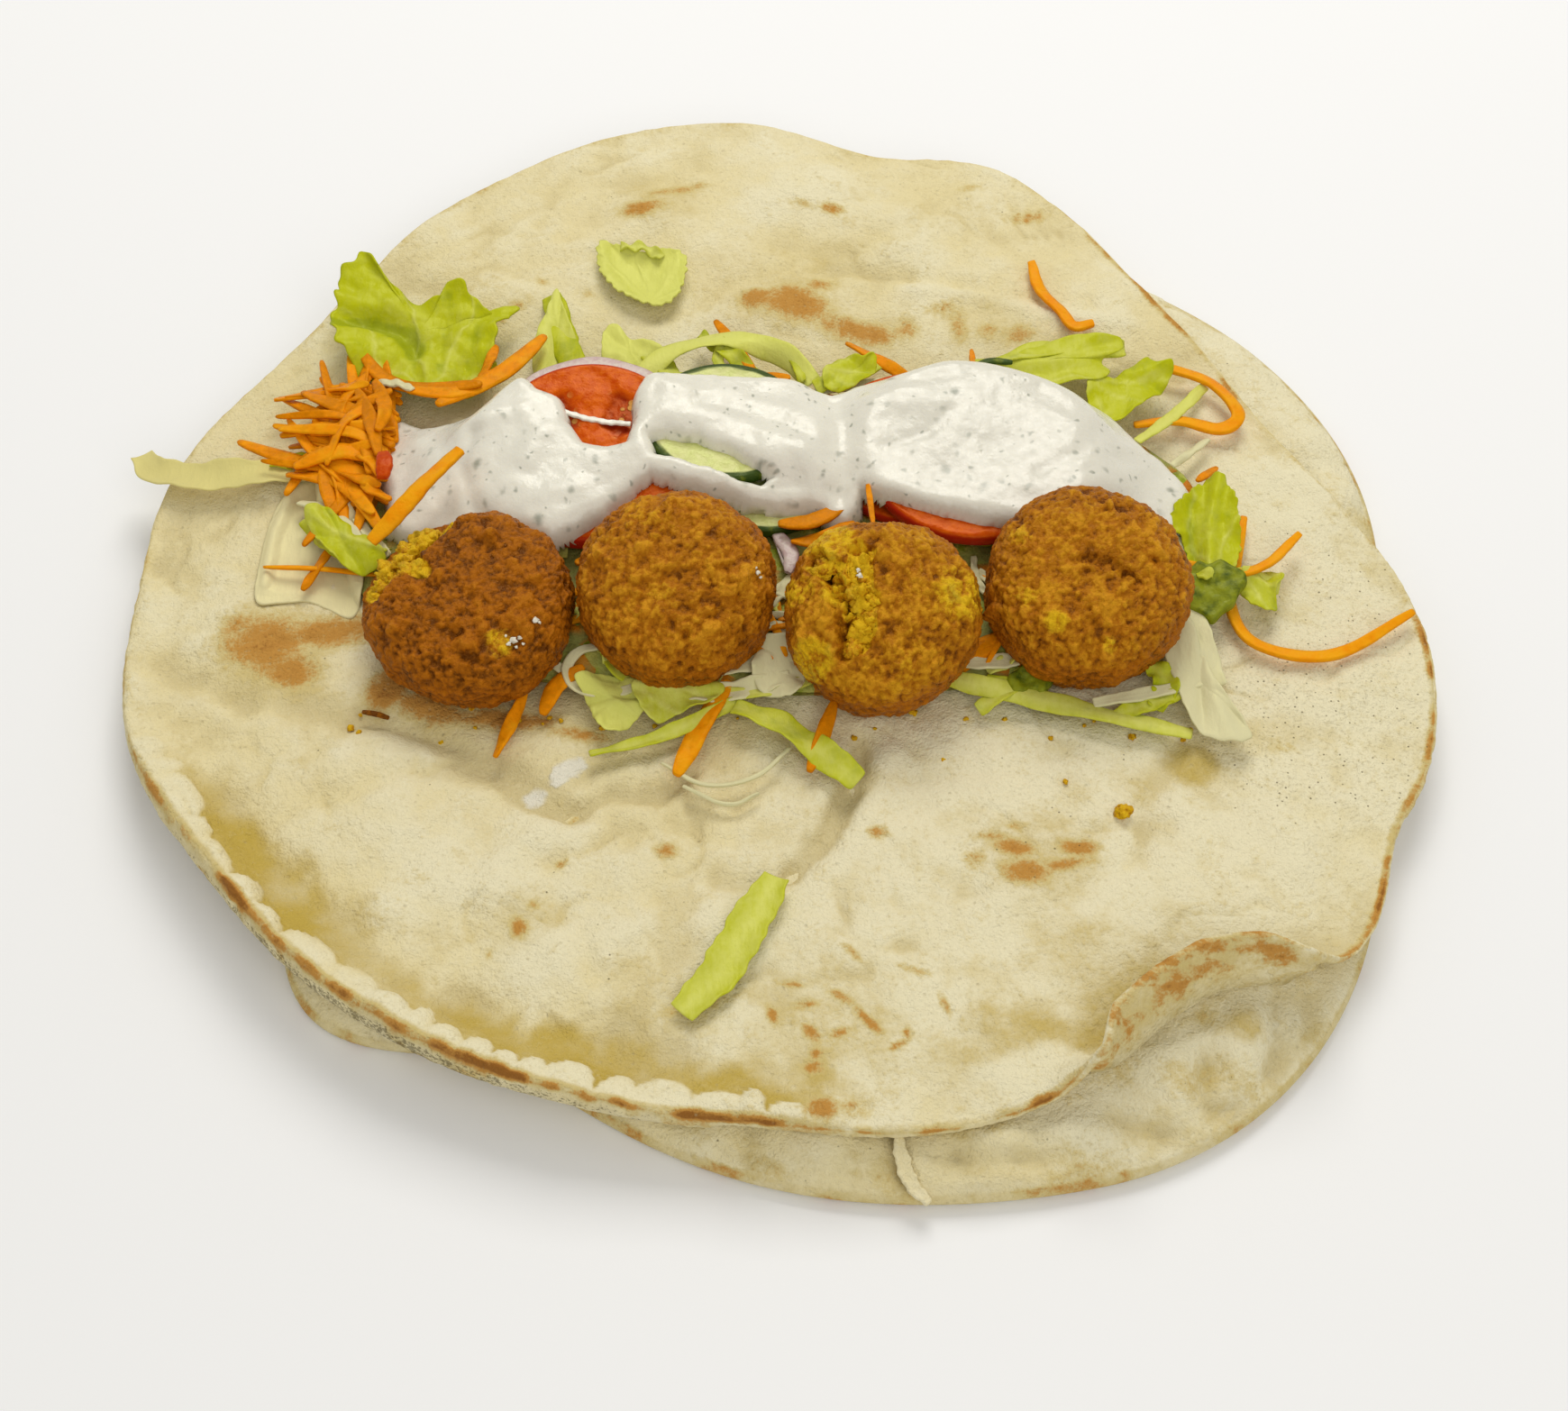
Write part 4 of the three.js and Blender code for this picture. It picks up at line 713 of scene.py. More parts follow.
def evenly(line, count):
    """`count` points at even distances along a line."""
    length = np.r_[0, np.cumsum(np.linalg.norm(np.diff(line, axis=0), axis=1))]
    stations = np.linspace(0, length[-1], count)
    return np.stack([np.interp(stations, length, line[:, k]) for k in range(line.shape[1])], axis=1)


def through(path, count):
    """`count` points on a smooth line through `path`."""
    keys = np.array(path, float)
    return evenly(spline([2 * keys[0] - keys[1], *keys, 2 * keys[-1] - keys[-2]]), count)


def closed_through(outline, count):
    """`count` points, and the first again, on a smooth closed line through `outline`."""
    return evenly(spline([outline[-1], *outline, outline[0], outline[1]]), count + 1)


# ==== Modelling ====

def begin(primitive, **options):
    """Adds a primitive as the only selected object."""
    bpy.ops.object.select_all(action="DESELECT")
    primitive(**options)
    return bpy.context.object


def only(piece):
    """Selects one piece and no other."""
    bpy.ops.object.select_all(action="DESELECT")
    piece.select_set(True)
    bpy.context.view_layer.objects.active = piece


def edit(piece, *steps, everything=True):
    """Runs edit-mode operators, given as (operator, options), on all or the selected part."""
    only(piece)
    bpy.ops.object.mode_set(mode="EDIT")
    if everything:
        bpy.ops.mesh.select_all(action="SELECT")
    for step, options in steps:
        step(**options)
    bpy.ops.object.mode_set(mode="OBJECT")


def cut_away(piece, unwanted):
    """Deletes the vertices for which `unwanted` is true."""
    mesh = piece.data
    bpy.context.tool_settings.mesh_select_mode = (True, False, False)
    mesh.polygons.foreach_set("select", np.zeros(len(mesh.polygons), bool))
    mesh.edges.foreach_set("select", np.zeros(len(mesh.edges), bool))
    mesh.vertices.foreach_set("select", unwanted)
    edit(piece, (bpy.ops.mesh.delete, {"type": "VERT"}), everything=False)


def modify(piece, kind, **options):
    """Adds a modifier and applies it."""
    only(piece)
    modifier = piece.modifiers.new(kind.title(), kind)
    for key, value in options.items():
        setattr(modifier, key, value)
    bpy.ops.object.modifier_apply(modifier=modifier.name)


def points_of(piece):
    """A mesh's vertices, in its own units."""
    values = np.empty(3 * len(piece.data.vertices))
    piece.data.vertices.foreach_get("co", values)
    return values.reshape(-1, 3)


def put(piece, points):
    """Moves the vertices to places given in millimetres."""
    piece.data.vertices.foreach_set("co", (np.reshape(points, (-1, 3)) * MM).ravel())
    piece.data.update()


def mark(piece, **values):
    """Stores numbers on the vertices, for the finishes to read."""
    for name, numbers in values.items():
        layer = piece.data.attributes.get(name) or piece.data.attributes.new(name, "FLOAT", "POINT")
        count = len(piece.data.vertices)
        layer.data.foreach_set("value", np.broadcast_to(np.ravel(numbers), count).astype(np.float32))


def sheet(columns, rows, place):
    """A grid laid out by place(u, v), which gives points in millimetres and marks by name."""
    piece = begin(bpy.ops.mesh.primitive_grid_add, x_subdivisions=columns, y_subdivisions=rows,
                  size=2, calc_uvs=False)
    flat = points_of(piece).reshape(rows + 1, columns + 1, 3)
    points, marks = place((flat[..., 0] + 1) / 2, (flat[..., 1] + 1) / 2)
    put(piece, points)
    mark(piece, **marks)
    return piece


def merge(piece):
    """Merges seams and poles."""
    edit(piece, (bpy.ops.mesh.remove_doubles, {"threshold": SEAM}))


def close(piece):
    """Merges seams and poles, and turns the faces outwards."""
    edit(piece, (bpy.ops.mesh.remove_doubles, {"threshold": SEAM}),
         (bpy.ops.mesh.normals_make_consistent, {"inside": False}))


def joined(parts):
    """Joins pieces into the first of them."""
    bpy.ops.object.select_all(action="DESELECT")
    for part in parts:
        part.select_set(True)
    bpy.context.view_layer.objects.active = parts[0]
    if len(parts) > 1:
        bpy.ops.object.join()
    return bpy.context.object


def finish(piece, name, material, slot, *nodes):
    """Names a piece, gives it its finish and puts it in the frame in place of its solids."""
    only(piece)
    bpy.ops.object.shade_smooth()
    piece.name = piece.data.name = name
    piece.data.materials.clear()
    piece.data.materials.append(material)
    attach(piece, "root")
    if nodes:
        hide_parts(*nodes)
    return piece


# ==== Materials ====

class Finish:
    """A material under construction, on one Principled shader."""

    def __init__(self, name, **plain):
        self.material = bpy.data.materials.new(name)
        self.material.use_nodes = True
        self.tree = self.material.node_tree
        self.shader = self.tree.nodes["Principled BSDF"]
        self.place = self.node("TexCoord", "Object")
        for key, value in plain.items():
            self.shader.inputs[key.replace("_", " ")].default_value = value

    def node(self, kind, output=0, options=None, **inputs):
        """Adds a node, with inputs given by name or as i0, i1 and so on; returns its output."""
        made = self.tree.nodes.new("ShaderNode" + kind)
        for key, value in (options or {}).items():
            setattr(made, key, value)
        for key, value in inputs.items():
            key = int(key[1:]) if key[0] == "i" and key[1:].isdigit() else key.replace("_", " ")
            self.link(made.inputs[key], value)
        return made.outputs[output]

    def link(self, socket, value):
        if isinstance(value, bpy.types.NodeSocket):
            self.tree.links.new(value, socket)
        elif socket.type == "RGBA" and len(value) == 3:
            socket.default_value = (*value, 1)
        else:
            socket.default_value = value

    def noise(self, grain, detail=3.0, roughness=0.55, distortion=0.0, place=None):
        """Noise with features of about `grain` millimetres."""
        return self.node("TexNoise", "Fac", Vector=place or self.place, Scale=1 / (grain * MM),
                         Detail=detail, Roughness=roughness, Distortion=distortion)

    def cells(self, grain, output="Distance", place=None):
        """Cells of about `grain` millimetres: distances from their middles, or random colours."""
        return self.node("TexVoronoi", output, Vector=place or self.place, Scale=1 / (grain * MM))

    def read(self, name):
        """A mark on the mesh."""
        return self.node("Attribute", "Fac", {"attribute_name": name})

    def span(self, value, low, high, start=0.0, end=1.0):
        """Eases from start to end while value goes from low to high."""
        return self.node("MapRange", 0, {"interpolation_type": "SMOOTHSTEP"}, i0=value, i1=low,
                         i2=high, i3=start, i4=end)

    def sum(self, *terms):
        """Adds (value, factor) pairs."""
        total = None
        for value, factor in terms:
            total = self.node("Math", 0, {"operation": "MULTIPLY_ADD"}, i0=value, i1=factor,
                              i2=0.0 if total is None else total)
        return total

    def times(self, a, b):
        return self.node("Math", 0, {"operation": "MULTIPLY"}, i0=a, i1=b)

    def most(self, a, b):
        return self.node("Math", 0, {"operation": "MAXIMUM"}, i0=a, i1=b)

    def mix(self, share, first, second):
        return self.node("Mix", 2, {"data_type": "RGBA"}, i0=share, i6=first, i7=second)

    def over(self, under, colour, value, low, high, strength=1.0):
        """A colour laid over another one where value is high."""
        return self.mix(self.span(value, low, high, 0, strength), under, colour)

    def bump(self, height, depth):
        """A bump whose heights of 0 to 1 are `depth` millimetres apart."""
        return self.node("Bump", 0, Height=height, Strength=1.0, Distance=depth * MM)

    def wear(self, colour, roughness=None, normal=None):
        """Puts the results on the shader, and returns the finished material."""
        for key, value in (("Base Color", colour), ("Roughness", roughness), ("Normal", normal)):
            if value is not None:
                self.link(self.shader.inputs[key], value)
        return self.material

    def glow_through(self, share, colour):
        """Lets some light through, as a thin leaf does."""
        thin = self.node("BsdfTranslucent", 0, Color=colour)
        both = self.tree.nodes.new("ShaderNodeMixShader")
        self.link(both.inputs[0], share)
        self.tree.links.new(self.shader.outputs[0], both.inputs[1])
        self.tree.links.new(thin, both.inputs[2])
        self.tree.links.new(both.outputs[0], self.tree.nodes["Material Output"].inputs["Surface"])


def darker(colour, share):
    return share * np.array(colour)


def flatbread_finish():
    """Floured dough with golden, toasted and sooty places, where the marks say, and painted shade in its
    folds, its pores and on its edge.
    """
    look = settings("bread")
    f = Finish("flatbread", Specular_IOR_Level=0.12)
    broad, middling = f.noise(24, 3), f.noise(6.5, 4, 0.6)
    fine, grain = f.noise(1.6, 4, 0.6), f.noise(0.55, 2)
    floured = f.sum((broad, 0.9), (middling, 0.6), (f.read("high"), 0.16), (f.read("flour"), 0.42),
                    (grain, 0.12))
    colour = f.mix(f.span(floured, 0.62, 1.12), look.cream, look.flour)
    bare = f.sum((f.noise(12, 4, 0.6), 1.0), (fine, 0.25), (f.read("high"), -0.16))
    colour = f.over(colour, look.shade, bare, 0.55, 0.92, 0.8)
    # Painted shade in the folds and dimples: the dough turns towards the crease shade colour where the
    # relief sinks.
    sunken = f.sum((f.read("high"), 1.0), (middling, 0.5))
    colour = f.over(colour, look.crease_shade, sunken, 0.0, -1.1, 0.4)
    dusty = f.sum((grain, 0.6), (fine, 0.7))
    colour = f.over(colour, look.flour, dusty, 0.62, 0.85, 0.3)
    golden = f.sum((f.read("gold"), 1.0), (middling, 0.7), (fine, 0.35), (f.read("toast"), 0.3))
    colour = f.over(colour, look.gold, golden, 0.62, 1.55, 0.95)
    along = f.node("Mapping", 0, Vector=f.place, Rotation=(0, 0, LIP_STREAKS["turn"]),
                   Scale=LIP_STREAKS["scale"])
    streaks = f.sum((f.noise(LIP_STREAKS["grain"], 3, 0.55, place=along), 2.8), (-1.25, 1.0))
    ragged = f.sum((f.read("toast"), 1.0), (middling, 0.8), (fine, 0.85), (grain, 0.55),
                   (f.times(f.read("lip"), streaks), 1.0))
    halo = f.mix(0.5, look.gold, look.cream)
    colour = f.over(colour, halo, ragged, 1.1, 1.66, 0.85)
    colour = f.over(colour, look.toast, ragged, 1.48, 2.0, 0.92)
    colour = f.over(colour, look.deep, ragged, 2.02, 2.6, 0.85)
    chance = f.sum((f.cells(1.3, "Color"), 1.0), (f.read("soot"), 0.3), (middling, 0.12))
    dots = f.times(f.span(chance, 0.98, 1.04), f.span(f.cells(1.3), 0.24, 0.12, 0, 0.75))
    smudge = f.times(f.read("soot"), f.span(f.noise(0.8, 3), 0.52, 0.72, 0, 0.22))
    colour = f.mix(f.most(dots, smudge), colour, look.char)
    # Painted shade on the edge where the wall mark is set; the char specks after it are real.
    shaded = f.times(f.read("wall"), f.span(f.noise(5, 3), 0.3, 0.7, 0.0, 0.35))
    colour = f.mix(shaded, colour, look.crease_shade)
    crust = f.sum((f.read("wall"), 0.8), (f.noise(0.8, 3, 0.7), 1.4), (f.noise(4, 2), 0.5))
    colour = f.over(colour, look.char, crust, 1.62, 1.86, 0.7)
    wet = f.span(f.sum((f.read("smear"), 1.0), (fine, 0.5), (f.noise(3.5, 2), 0.7)), 0.92, 1.5, 0, 0.8)
    colour = f.mix(wet, colour, look.smear)
    # Small pores, sunk in the bump and darkened with the crease shade colour: a painted shade in them.
    pores = f.times(f.span(f.cells(1.9), 0.3, 0.0), f.span(f.cells(1.9, "Color"), 0.5, 0.75))
    colour = f.mix(f.times(pores, 0.4), colour, look.crease_shade)
    height = f.sum((middling, 0.9), (fine, 0.8), (grain, 0.38), (pores, -0.2), (wet, 0.3))
    rough = f.sum((f.span(broad, 0.2, 0.8, 0.75, 0.92), 1.0), (wet, -0.5))
    return f.wear(colour, rough, f.bump(height, 0.85))


def crust_finish():
    """Fried crust: dark in its pits and light on its crumbs, partly its own colour and partly painted
    shade and painted light; redder and darker on its sides, partly painted shade; golden where it is
    broken.
    """
    look = settings("falafel")
    f = Finish("fried_crust", Specular_IOR_Level=0.38, Specular_Tint=(1.0, 0.55, 0.15, 1))
    fine, grain, broad = f.noise(0.9, 3, 0.65), f.noise(0.4, 2), f.noise(8, 3, 0.6)
    crumb, mid = f.cells(1.2), f.noise(3, 3, 0.6)
    # Dark in the pits and gaps between crumbs, light on raised crumbs: partly the crust's own colour,
    # partly painted shade and painted light.
    level = f.sum((f.read("high"), 0.5), (fine, 0.3), (f.cells(1.6, "Color"), 0.16), (crumb, -0.15),
                  (mid, 0.35), (broad, 0.2), (f.read("tint"), 0.07), (-0.045, 1.0))
    colour = f.mix(f.span(level, 0.3, 0.62), look.dark, look.brown)
    colour = f.over(colour, look.light, level, 0.6, 0.92)
    hue = f.sum((f.read("tint"), 0.5), (broad, 0.5), (f.cells(2.2, "Color"), 0.3), (fine, 0.2))
    warm = f.mix(f.span(level, 0.35, 0.8), look.brown, look.gold)
    colour = f.over(colour, warm, hue, 0.55, 1.2, 0.32)
    # Towards a redder, darker mix on the sides, partly the crust's own colour and partly painted shade,
    # and all over the darkest falafel, its own colour.
    redder = f.mix(f.span(level, 0.3, 0.75), look.dark, look.sides)
    reddened = f.most(f.times(f.read("side"), 0.8), f.span(f.read("tint"), 0.1, -0.4, 0, 0.7))
    colour = f.mix(reddened, colour, redder)
    bright = f.sum((f.read("gold"), 1.0), (fine, 0.4), (mid, 0.5), (f.read("high"), 0.15))
    greenish = f.mix(f.span(f.noise(5, 3), 0.5, 0.75, 0, 0.6), look.gold, look.herbs)
    raised = f.sum((fine, 0.8), (f.read("high"), 0.5))
    inner = f.mix(f.span(raised, 0.3, 0.75), darker(look.brown, 1.15), greenish)
    colour = f.over(colour, inner, bright, 0.72, 1.2, 0.97)
    height = f.sum((fine, 0.5), (crumb, -0.35), (grain, 0.25))
    return f.wear(colour, f.span(level, 0.3, 0.9, 0.24, 0.6), f.bump(height, 1.0))


def sauce_finish():
    """Yogurt with fine herbs, greyed over its right lobe by a painted shade."""
    look = settings("sauce")
    f = Finish("yogurt", Specular_IOR_Level=0.45, Subsurface_Weight=0.12, Subsurface_Scale=0.0015,
               Subsurface_Radius=(1.0, 0.9, 0.7))
    warp = f.node("TexNoise", "Color", Vector=f.place, Scale=HERB_WARP["scale"], Detail=2.0)
    bent = f.node("VectorMath", 0, {"operation": "MULTIPLY_ADD"}, i0=warp,
                  i1=3 * (HERB_WARP["reach"],), i2=f.place)
    flecks = None
    for grain, reach, share, strong in SAUCE_FLECKS:
        near, chance = f.cells(grain, place=bent), f.cells(grain, "Color", place=bent)
        one = f.times(f.span(near, reach, 0.15 * reach, 0, strong),
                      f.span(chance, 0.98 - share, 1.02 - share, 0, 1))
        flecks = one if flecks is None else f.most(flecks, one)
    shade = f.mix(f.span(f.noise(9, 3), 0.35, 0.7), look.white, darker(look.white, 0.94))
    # Where the thin mark is set, over the right lobe, the yogurt is greyed: a painted shade.
    shade = f.mix(f.read("thin"), shade, darker(look.white, 0.9))
    colour = f.mix(flecks, shade, look.herb)
    height = f.sum((f.noise(3.4, 3, 0.5), 0.5), (f.noise(1.0, 2), 0.12), (flecks, 0.08))
    return f.wear(colour, f.span(f.noise(2.4, 3), 0.3, 0.75, 0.16, 0.4), f.bump(height, 0.42))


def leaf_finish(name, green, pale, dark, glow=0.16):
    """A moist leaf: pale along its ribs and where the mark says so, green towards its edge, darker at
    random and, on the leaves, by a painted shade in the grooves of their folds.
    """
    f = Finish(name, Specular_IOR_Level=0.26, Specular_Tint=(1.0, 1.0, 0.35, 1))
    streaks = f.noise(3.2, 4, 0.6, 0.6)
    stretched = f.node("Mapping", 0, Vector=f.place, Scale=(1.0, 0.3, 1.0))
    lines = f.noise(1.7, 3, 0.6, place=stretched)
    share = f.sum((f.read("pale"), 0.9), (streaks, 0.5), (lines, 0.5), (f.read("rib"), 0.3))
    colour = f.mix(f.span(share, 0.5, 1.35), green, pale)
    # Darker at random and where the shade mark is set: on the leaves that is painted shade in the grooves
    # of their folds, on the shreds a tone drawn at random.
    depth = f.sum((f.noise(6, 3), 1.0), (f.read("pale"), -0.35), (lines, 0.4), (f.read("shade"), 0.5))
    colour = f.over(colour, dark, depth, 0.68, 1.1, 0.6)
    f.glow_through(glow, colour)
    height = f.sum((lines, 0.8), (f.read("rib"), 0.5), (f.noise(0.9, 2), 0.3))
    return f.wear(colour, f.span(streaks, 0.3, 0.7, 0.3, 0.48), f.bump(height, 0.3))


def carrot_finish():
    """Raw carrot, streaked along and a little lit through."""
    look = settings("salad")
    f = Finish("raw_carrot", Specular_IOR_Level=0.16, Specular_Tint=(1.0, 0.6, 0.15, 1))
    streaks = f.noise(2.2, 4, 0.6)
    tone = f.sum((streaks, 1.0), (f.read("shade"), 0.35))
    colour = f.mix(f.span(tone, 0.4, 0.85), darker(look.carrot, 0.72), look.carrot)
    lighter = f.sum((f.noise(5, 3), 1.0), (f.read("shade"), 0.4))
    colour = f.over(colour, look.carrot_light, lighter, 0.62, 1.05, 0.75)
    f.glow_through(0.12, colour)
    height = f.sum((f.noise(0.9, 3), 0.4), (streaks, 0.5))
    return f.wear(colour, f.span(streaks, 0.3, 0.7, 0.26, 0.46), f.bump(height, 0.4))


def tomato_finish():
    """Cut tomato: fibrous flesh, jelly with seeds where the marks say, and skin."""
    look = settings("salad")
    f = Finish("cut_tomato", Specular_IOR_Level=0.3, Specular_Tint=(1.0, 0.36, 0.08, 1))
    fibres = f.noise(1.8, 4, 0.65)
    flesh = f.mix(f.span(fibres, 0.3, 0.8), look.tomato, look.tomato_light)
    gel = f.mix(f.span(f.noise(3.2, 2), 0.35, 0.7), look.gel_dark, look.gel)
    colour = f.mix(f.read("gel"), flesh, gel)
    seeds = f.times(f.span(f.cells(3.4), 0.3, 0.22), f.read("gel"))
    colour = f.mix(f.times(seeds, 0.65), colour, look.seeds)
    colour = f.mix(f.read("skin"), colour, look.tomato_skin)
    height = f.sum((fibres, 0.4), (seeds, 0.6), (f.noise(0.8, 2), 0.2))
    return f.wear(colour, f.span(fibres, 0.3, 0.7, 0.05, 0.22), f.bump(height, 0.3))


def cucumber_finish():
    """Cut cucumber: flesh, a seedy core and a green skin."""
    look = settings("salad")
    f = Finish("cut_cucumber", Specular_IOR_Level=0.34, Specular_Tint=(0.9, 1.0, 0.5, 1))
    wet = f.noise(2.2, 3)
    flesh = f.mix(f.span(wet, 0.3, 0.75), look.flesh, look.flesh_light)
    core = f.mix(f.span(f.cells(2.6), 0.2, 0.4), look.pips, look.core)
    colour = f.mix(f.read("gel"), flesh, core)
    greener = f.sum((f.noise(3, 3), 1.0), (f.read("gel"), 0.3))
    rind = f.mix(f.span(greener, 0.5, 0.95), look.skin, look.skin_light)
    colour = f.mix(f.read("skin"), colour, rind)
    height = f.sum((wet, 0.7), (f.noise(0.8, 2), 0.3))
    rough = f.sum((f.span(wet, 0.3, 0.7, 0.15, 0.32), 1.0), (f.read("skin"), 0.25))
    return f.wear(colour, rough, f.bump(height, 0.35))


def onion_finish():
    """Onion in thin layers, a little lit through."""
    look = settings("salad")
    f = Finish("cut_onion", Specular_IOR_Level=0.45)
    layers = f.noise(1.4, 3)
    colour = f.mix(f.span(layers, 0.3, 0.7), look.onion, look.onion_light)
    colour = f.mix(f.times(f.read("skin"), 0.6), colour, look.onion_skin)
    f.glow_through(0.25, colour)
    return f.wear(colour, f.span(layers, 0.3, 0.7, 0.15, 0.3), f.bump(layers, 0.2))


def heap_finish():
    """What shows of the heap between its shreds: dark green with dark bits of carrot, darker still in its
    hollows, a painted shade of the gaps between the shreds.
    """
    look = settings("salad")
    f = Finish("salad_below", Specular_IOR_Level=0.2)
    # Dark green and darkened carrot, a painted shade of the gaps between the shreds.
    green = f.mix(f.span(f.noise(3, 3), 0.35, 0.7), look.dark, darker(look.pale, 0.75))
    colour = f.mix(f.span(f.cells(5.5, "Color"), 0.62, 0.66), green, darker(look.carrot, 0.6))
    # Darker again where the core sinks: painted shade in its hollows.
    colour = f.mix(f.span(f.read("high"), -0.2, 0.5), darker(look.pale, 0.4), colour)
    return f.wear(colour, 0.5, f.bump(f.noise(2.4, 4), 1.2))


def fleck_finish():
    """White flecks on the crusts."""
    look = settings("falafel")
    f = Finish("white_flecks", Specular_IOR_Level=0.3)
    return f.wear(f.mix(f.span(f.noise(0.8, 3), 0.3, 0.75), look.fleck_shade, look.fleck), 0.6)


SHARED_FINISHES = {"flatbread": flatbread_finish, "fried_crust": crust_finish,
                   "raw_carrot": carrot_finish, "cut_tomato": tomato_finish,
                   "cut_cucumber": cucumber_finish}


def shared(name):
    """A material that more than one step uses, made by the first of them."""
    return bpy.data.materials.get(name) or SHARED_FINISHES[name]()


# ==== Breads ====

def rim_of(bread, lobes, angle):
    """The radius of a bread at each angle."""
    return bread["radius"] + sum(extra * lobe(angle, at, width) for at, width, extra in lobes)


def lower_rim(angle):
    return rim_of(LOWER, LOWER_LOBES, angle)


def upper_rim(angle):
    return rim_of(UPPER, UPPER_LOBES, angle)


def degrees_of(x, y):
    return np.degrees(np.arctan2(y, x)) % 360


def lower_top(x, y):
    """The top of the lower bread."""
    angle = degrees_of(x, y)
    inward = lower_rim(angle) - np.hypot(x, y)
    round_off = LOWER["round"] + LOWER["puff"] * lobe(angle, *LOWER_RIM["puffed"])
    return lerp(LOWER["edge"], LOWER["top"], arch(inward / round_off))


def bearing(x, y):
    """What the upper bread lies on."""
    angle, radius = degrees_of(x, y), np.hypot(x, y)
    rim = upper_rim(angle)
    bend = np.minimum(rim, lower_rim(angle)) - LOWER["round"]
    droop = UPPER["droop"] * smooth((radius - bend) / (rim - bend))
    clearance = lerp(UPPER["clear"], UPPER["clear_rim"], smooth(2 * radius / rim - 1))
    return np.maximum(LOWER["top"] - droop, lower_top(x, y)) + clearance


def relief(x, y, puffs, folds, dimples=()):
    """The height that puffs, folds and dimples add to a surface."""
    height = 0.35 * np.sin(x / 9 + 1) * np.cos(y / 11)
    for px, py, radius, rise in puffs:
        height = height + rise * smooth(1 - np.hypot(x - px, y - py) / radius)
    for path, half, depth in folds:
        height = height - depth * np.exp(-(off_line(x, y, path) / half) ** 2)
    for px, py, radius, depth in dimples:
        height = height - depth * np.exp(-((x - px) ** 2 + (y - py) ** 2) / radius ** 2)
    return height


def upper_top(x, y):
    """The top of the upper bread, without its rolled lip."""
    return bearing(x, y) + UPPER["sheet"] + relief(x, y, PUFFS, FOLDS, DIMPLES)


def over_disc(share, angle, rim):
    """Points at a share of the way from the middle of the bread to its rim."""
    turn = np.radians(angle)
    x = lerp(BREAD_MIDDLE[0], rim * np.cos(turn), share)
    y = lerp(BREAD_MIDDLE[1], rim * np.sin(turn), share)
    return x, y


def facing(points):
    """Unit normals of a round sheet of points[ring, sector], rings from the middle out."""
    ring = points[:, :-1]
    round_it = np.roll(ring, -1, axis=1) - np.roll(ring, 1, axis=1)
    outward = np.gradient(ring, axis=0)
    normal = np.cross(outward, round_it)
    normal /= np.linalg.norm(normal, axis=-1, keepdims=True) + 1e-12
    return np.concatenate([normal, normal[:, :1]], axis=1)


def fade_in(count, power, flat):
    """Shares from 0 to 1 that start with small steps."""
    t = np.linspace(0, 1, count)
    return flat * t + (1 - flat) * t ** power


def wrinkled(points, grain, seed):
    """Thin wandering creases: 1 along them and 0 between."""
    return np.exp(-(cloud(points, grain, seed, 2) / 0.055) ** 2)


def rim_lobes(angle, inset, rim):
    """Puffed lobes of uneven width just inside the rim."""
    rng = random.Random(12)
    travel = np.radians(angle - SCALLOPS["first"]) * rim
    height, at = np.zeros_like(inset), 0.0
    while at < SCALLOPS["length"]:
        wide, deep = rng.uniform(*SCALLOPS["widths"]), rng.uniform(*SCALLOPS["reach"])
        rise = rng.uniform(*SCALLOPS["rise"])
        away = ((travel - at - wide / 2) / (0.6 * wide)) ** 2 + (np.maximum(inset - 1.2, 0) / deep) ** 2
        height = np.maximum(height, rise * np.sqrt(np.clip(1 - away, 0, 1)))
        at += wide * rng.uniform(0.85, 1.2)
    return height


def lip_roll(angle, inset):
    """Where the sheet goes when its lip rolls up: how far in from the rim, and how high."""
    roll = ROLLED_LIP
    weight = smooth(1.5 * lobe(angle, *roll["at"]))
    reach = roll["reach"] * lerp(0.6, 1, weight)
    bend = roll["bend"] * reach
    turn = np.maximum(np.radians(roll["turn"]) * weight, 1e-4)
    past = np.clip(reach - inset, 0, None)
    bent = np.minimum(past, bend)
    straight = np.maximum(past - bend, 0)
    out = bend / turn * np.sin(turn * bent / bend) + straight * np.cos(turn)
    up = bend / turn * (1 - np.cos(turn * bent / bend)) + straight * np.sin(turn)
    furthest = np.where(turn > np.pi / 2, bend / turn,
                        bend / turn * np.sin(turn) + (reach - bend) * np.cos(turn))
    outset = roll["outset"] * lobe(angle, *roll["outset_at"]) * smooth(2 - inset / roll["reach"])
    return furthest - out + np.maximum(inset - reach, 0) - outset, up * (weight > 0.001)


def patchy(points):
    """Uneven strength of what is toasted along the rim."""
    return 0.58 + 1.2 * cloud(on_plane(points[..., 0], points[..., 1]), 8, 9, 4)


def both(top, rest, shape):
    """Marks of a bread's top, which has this shape, and after them those of its edge and underside."""
    below = np.shape(rest["toast"])
    return {name: np.concatenate([np.broadcast_to(top.get(name, 0.0), shape),
                                  np.broadcast_to(rest.get(name, 0.0), below)])
            for name in BREAD_MARKS}


def upper_fine(core, angle, inset, rim):
    """The fine unevenness of the upper bread's top, and the lobes of its rim in it."""
    look = settings("bread")
    band = lobe(angle, *GOLDEN_BAND["at"])
    lobes = look.scallop * rim_lobes(angle, inset, rim) * smooth(5 * band)
    uneven = (cloud(core, 26, 1) * 0.9 + cloud(core, 8.5, 2, 4) * look.wrinkle / MM
              + cloud(core, 3, 3) * 0.12 - 0.8 * wrinkled(core, 21, 14) * smooth(cloud(core, 34, 15) * 3))
    groove = smooth(3 * band) * np.exp(-((inset - 12) / 5) ** 2)
    return uneven * smooth(inset / 3 + 0.25) + lobes - groove, lobes


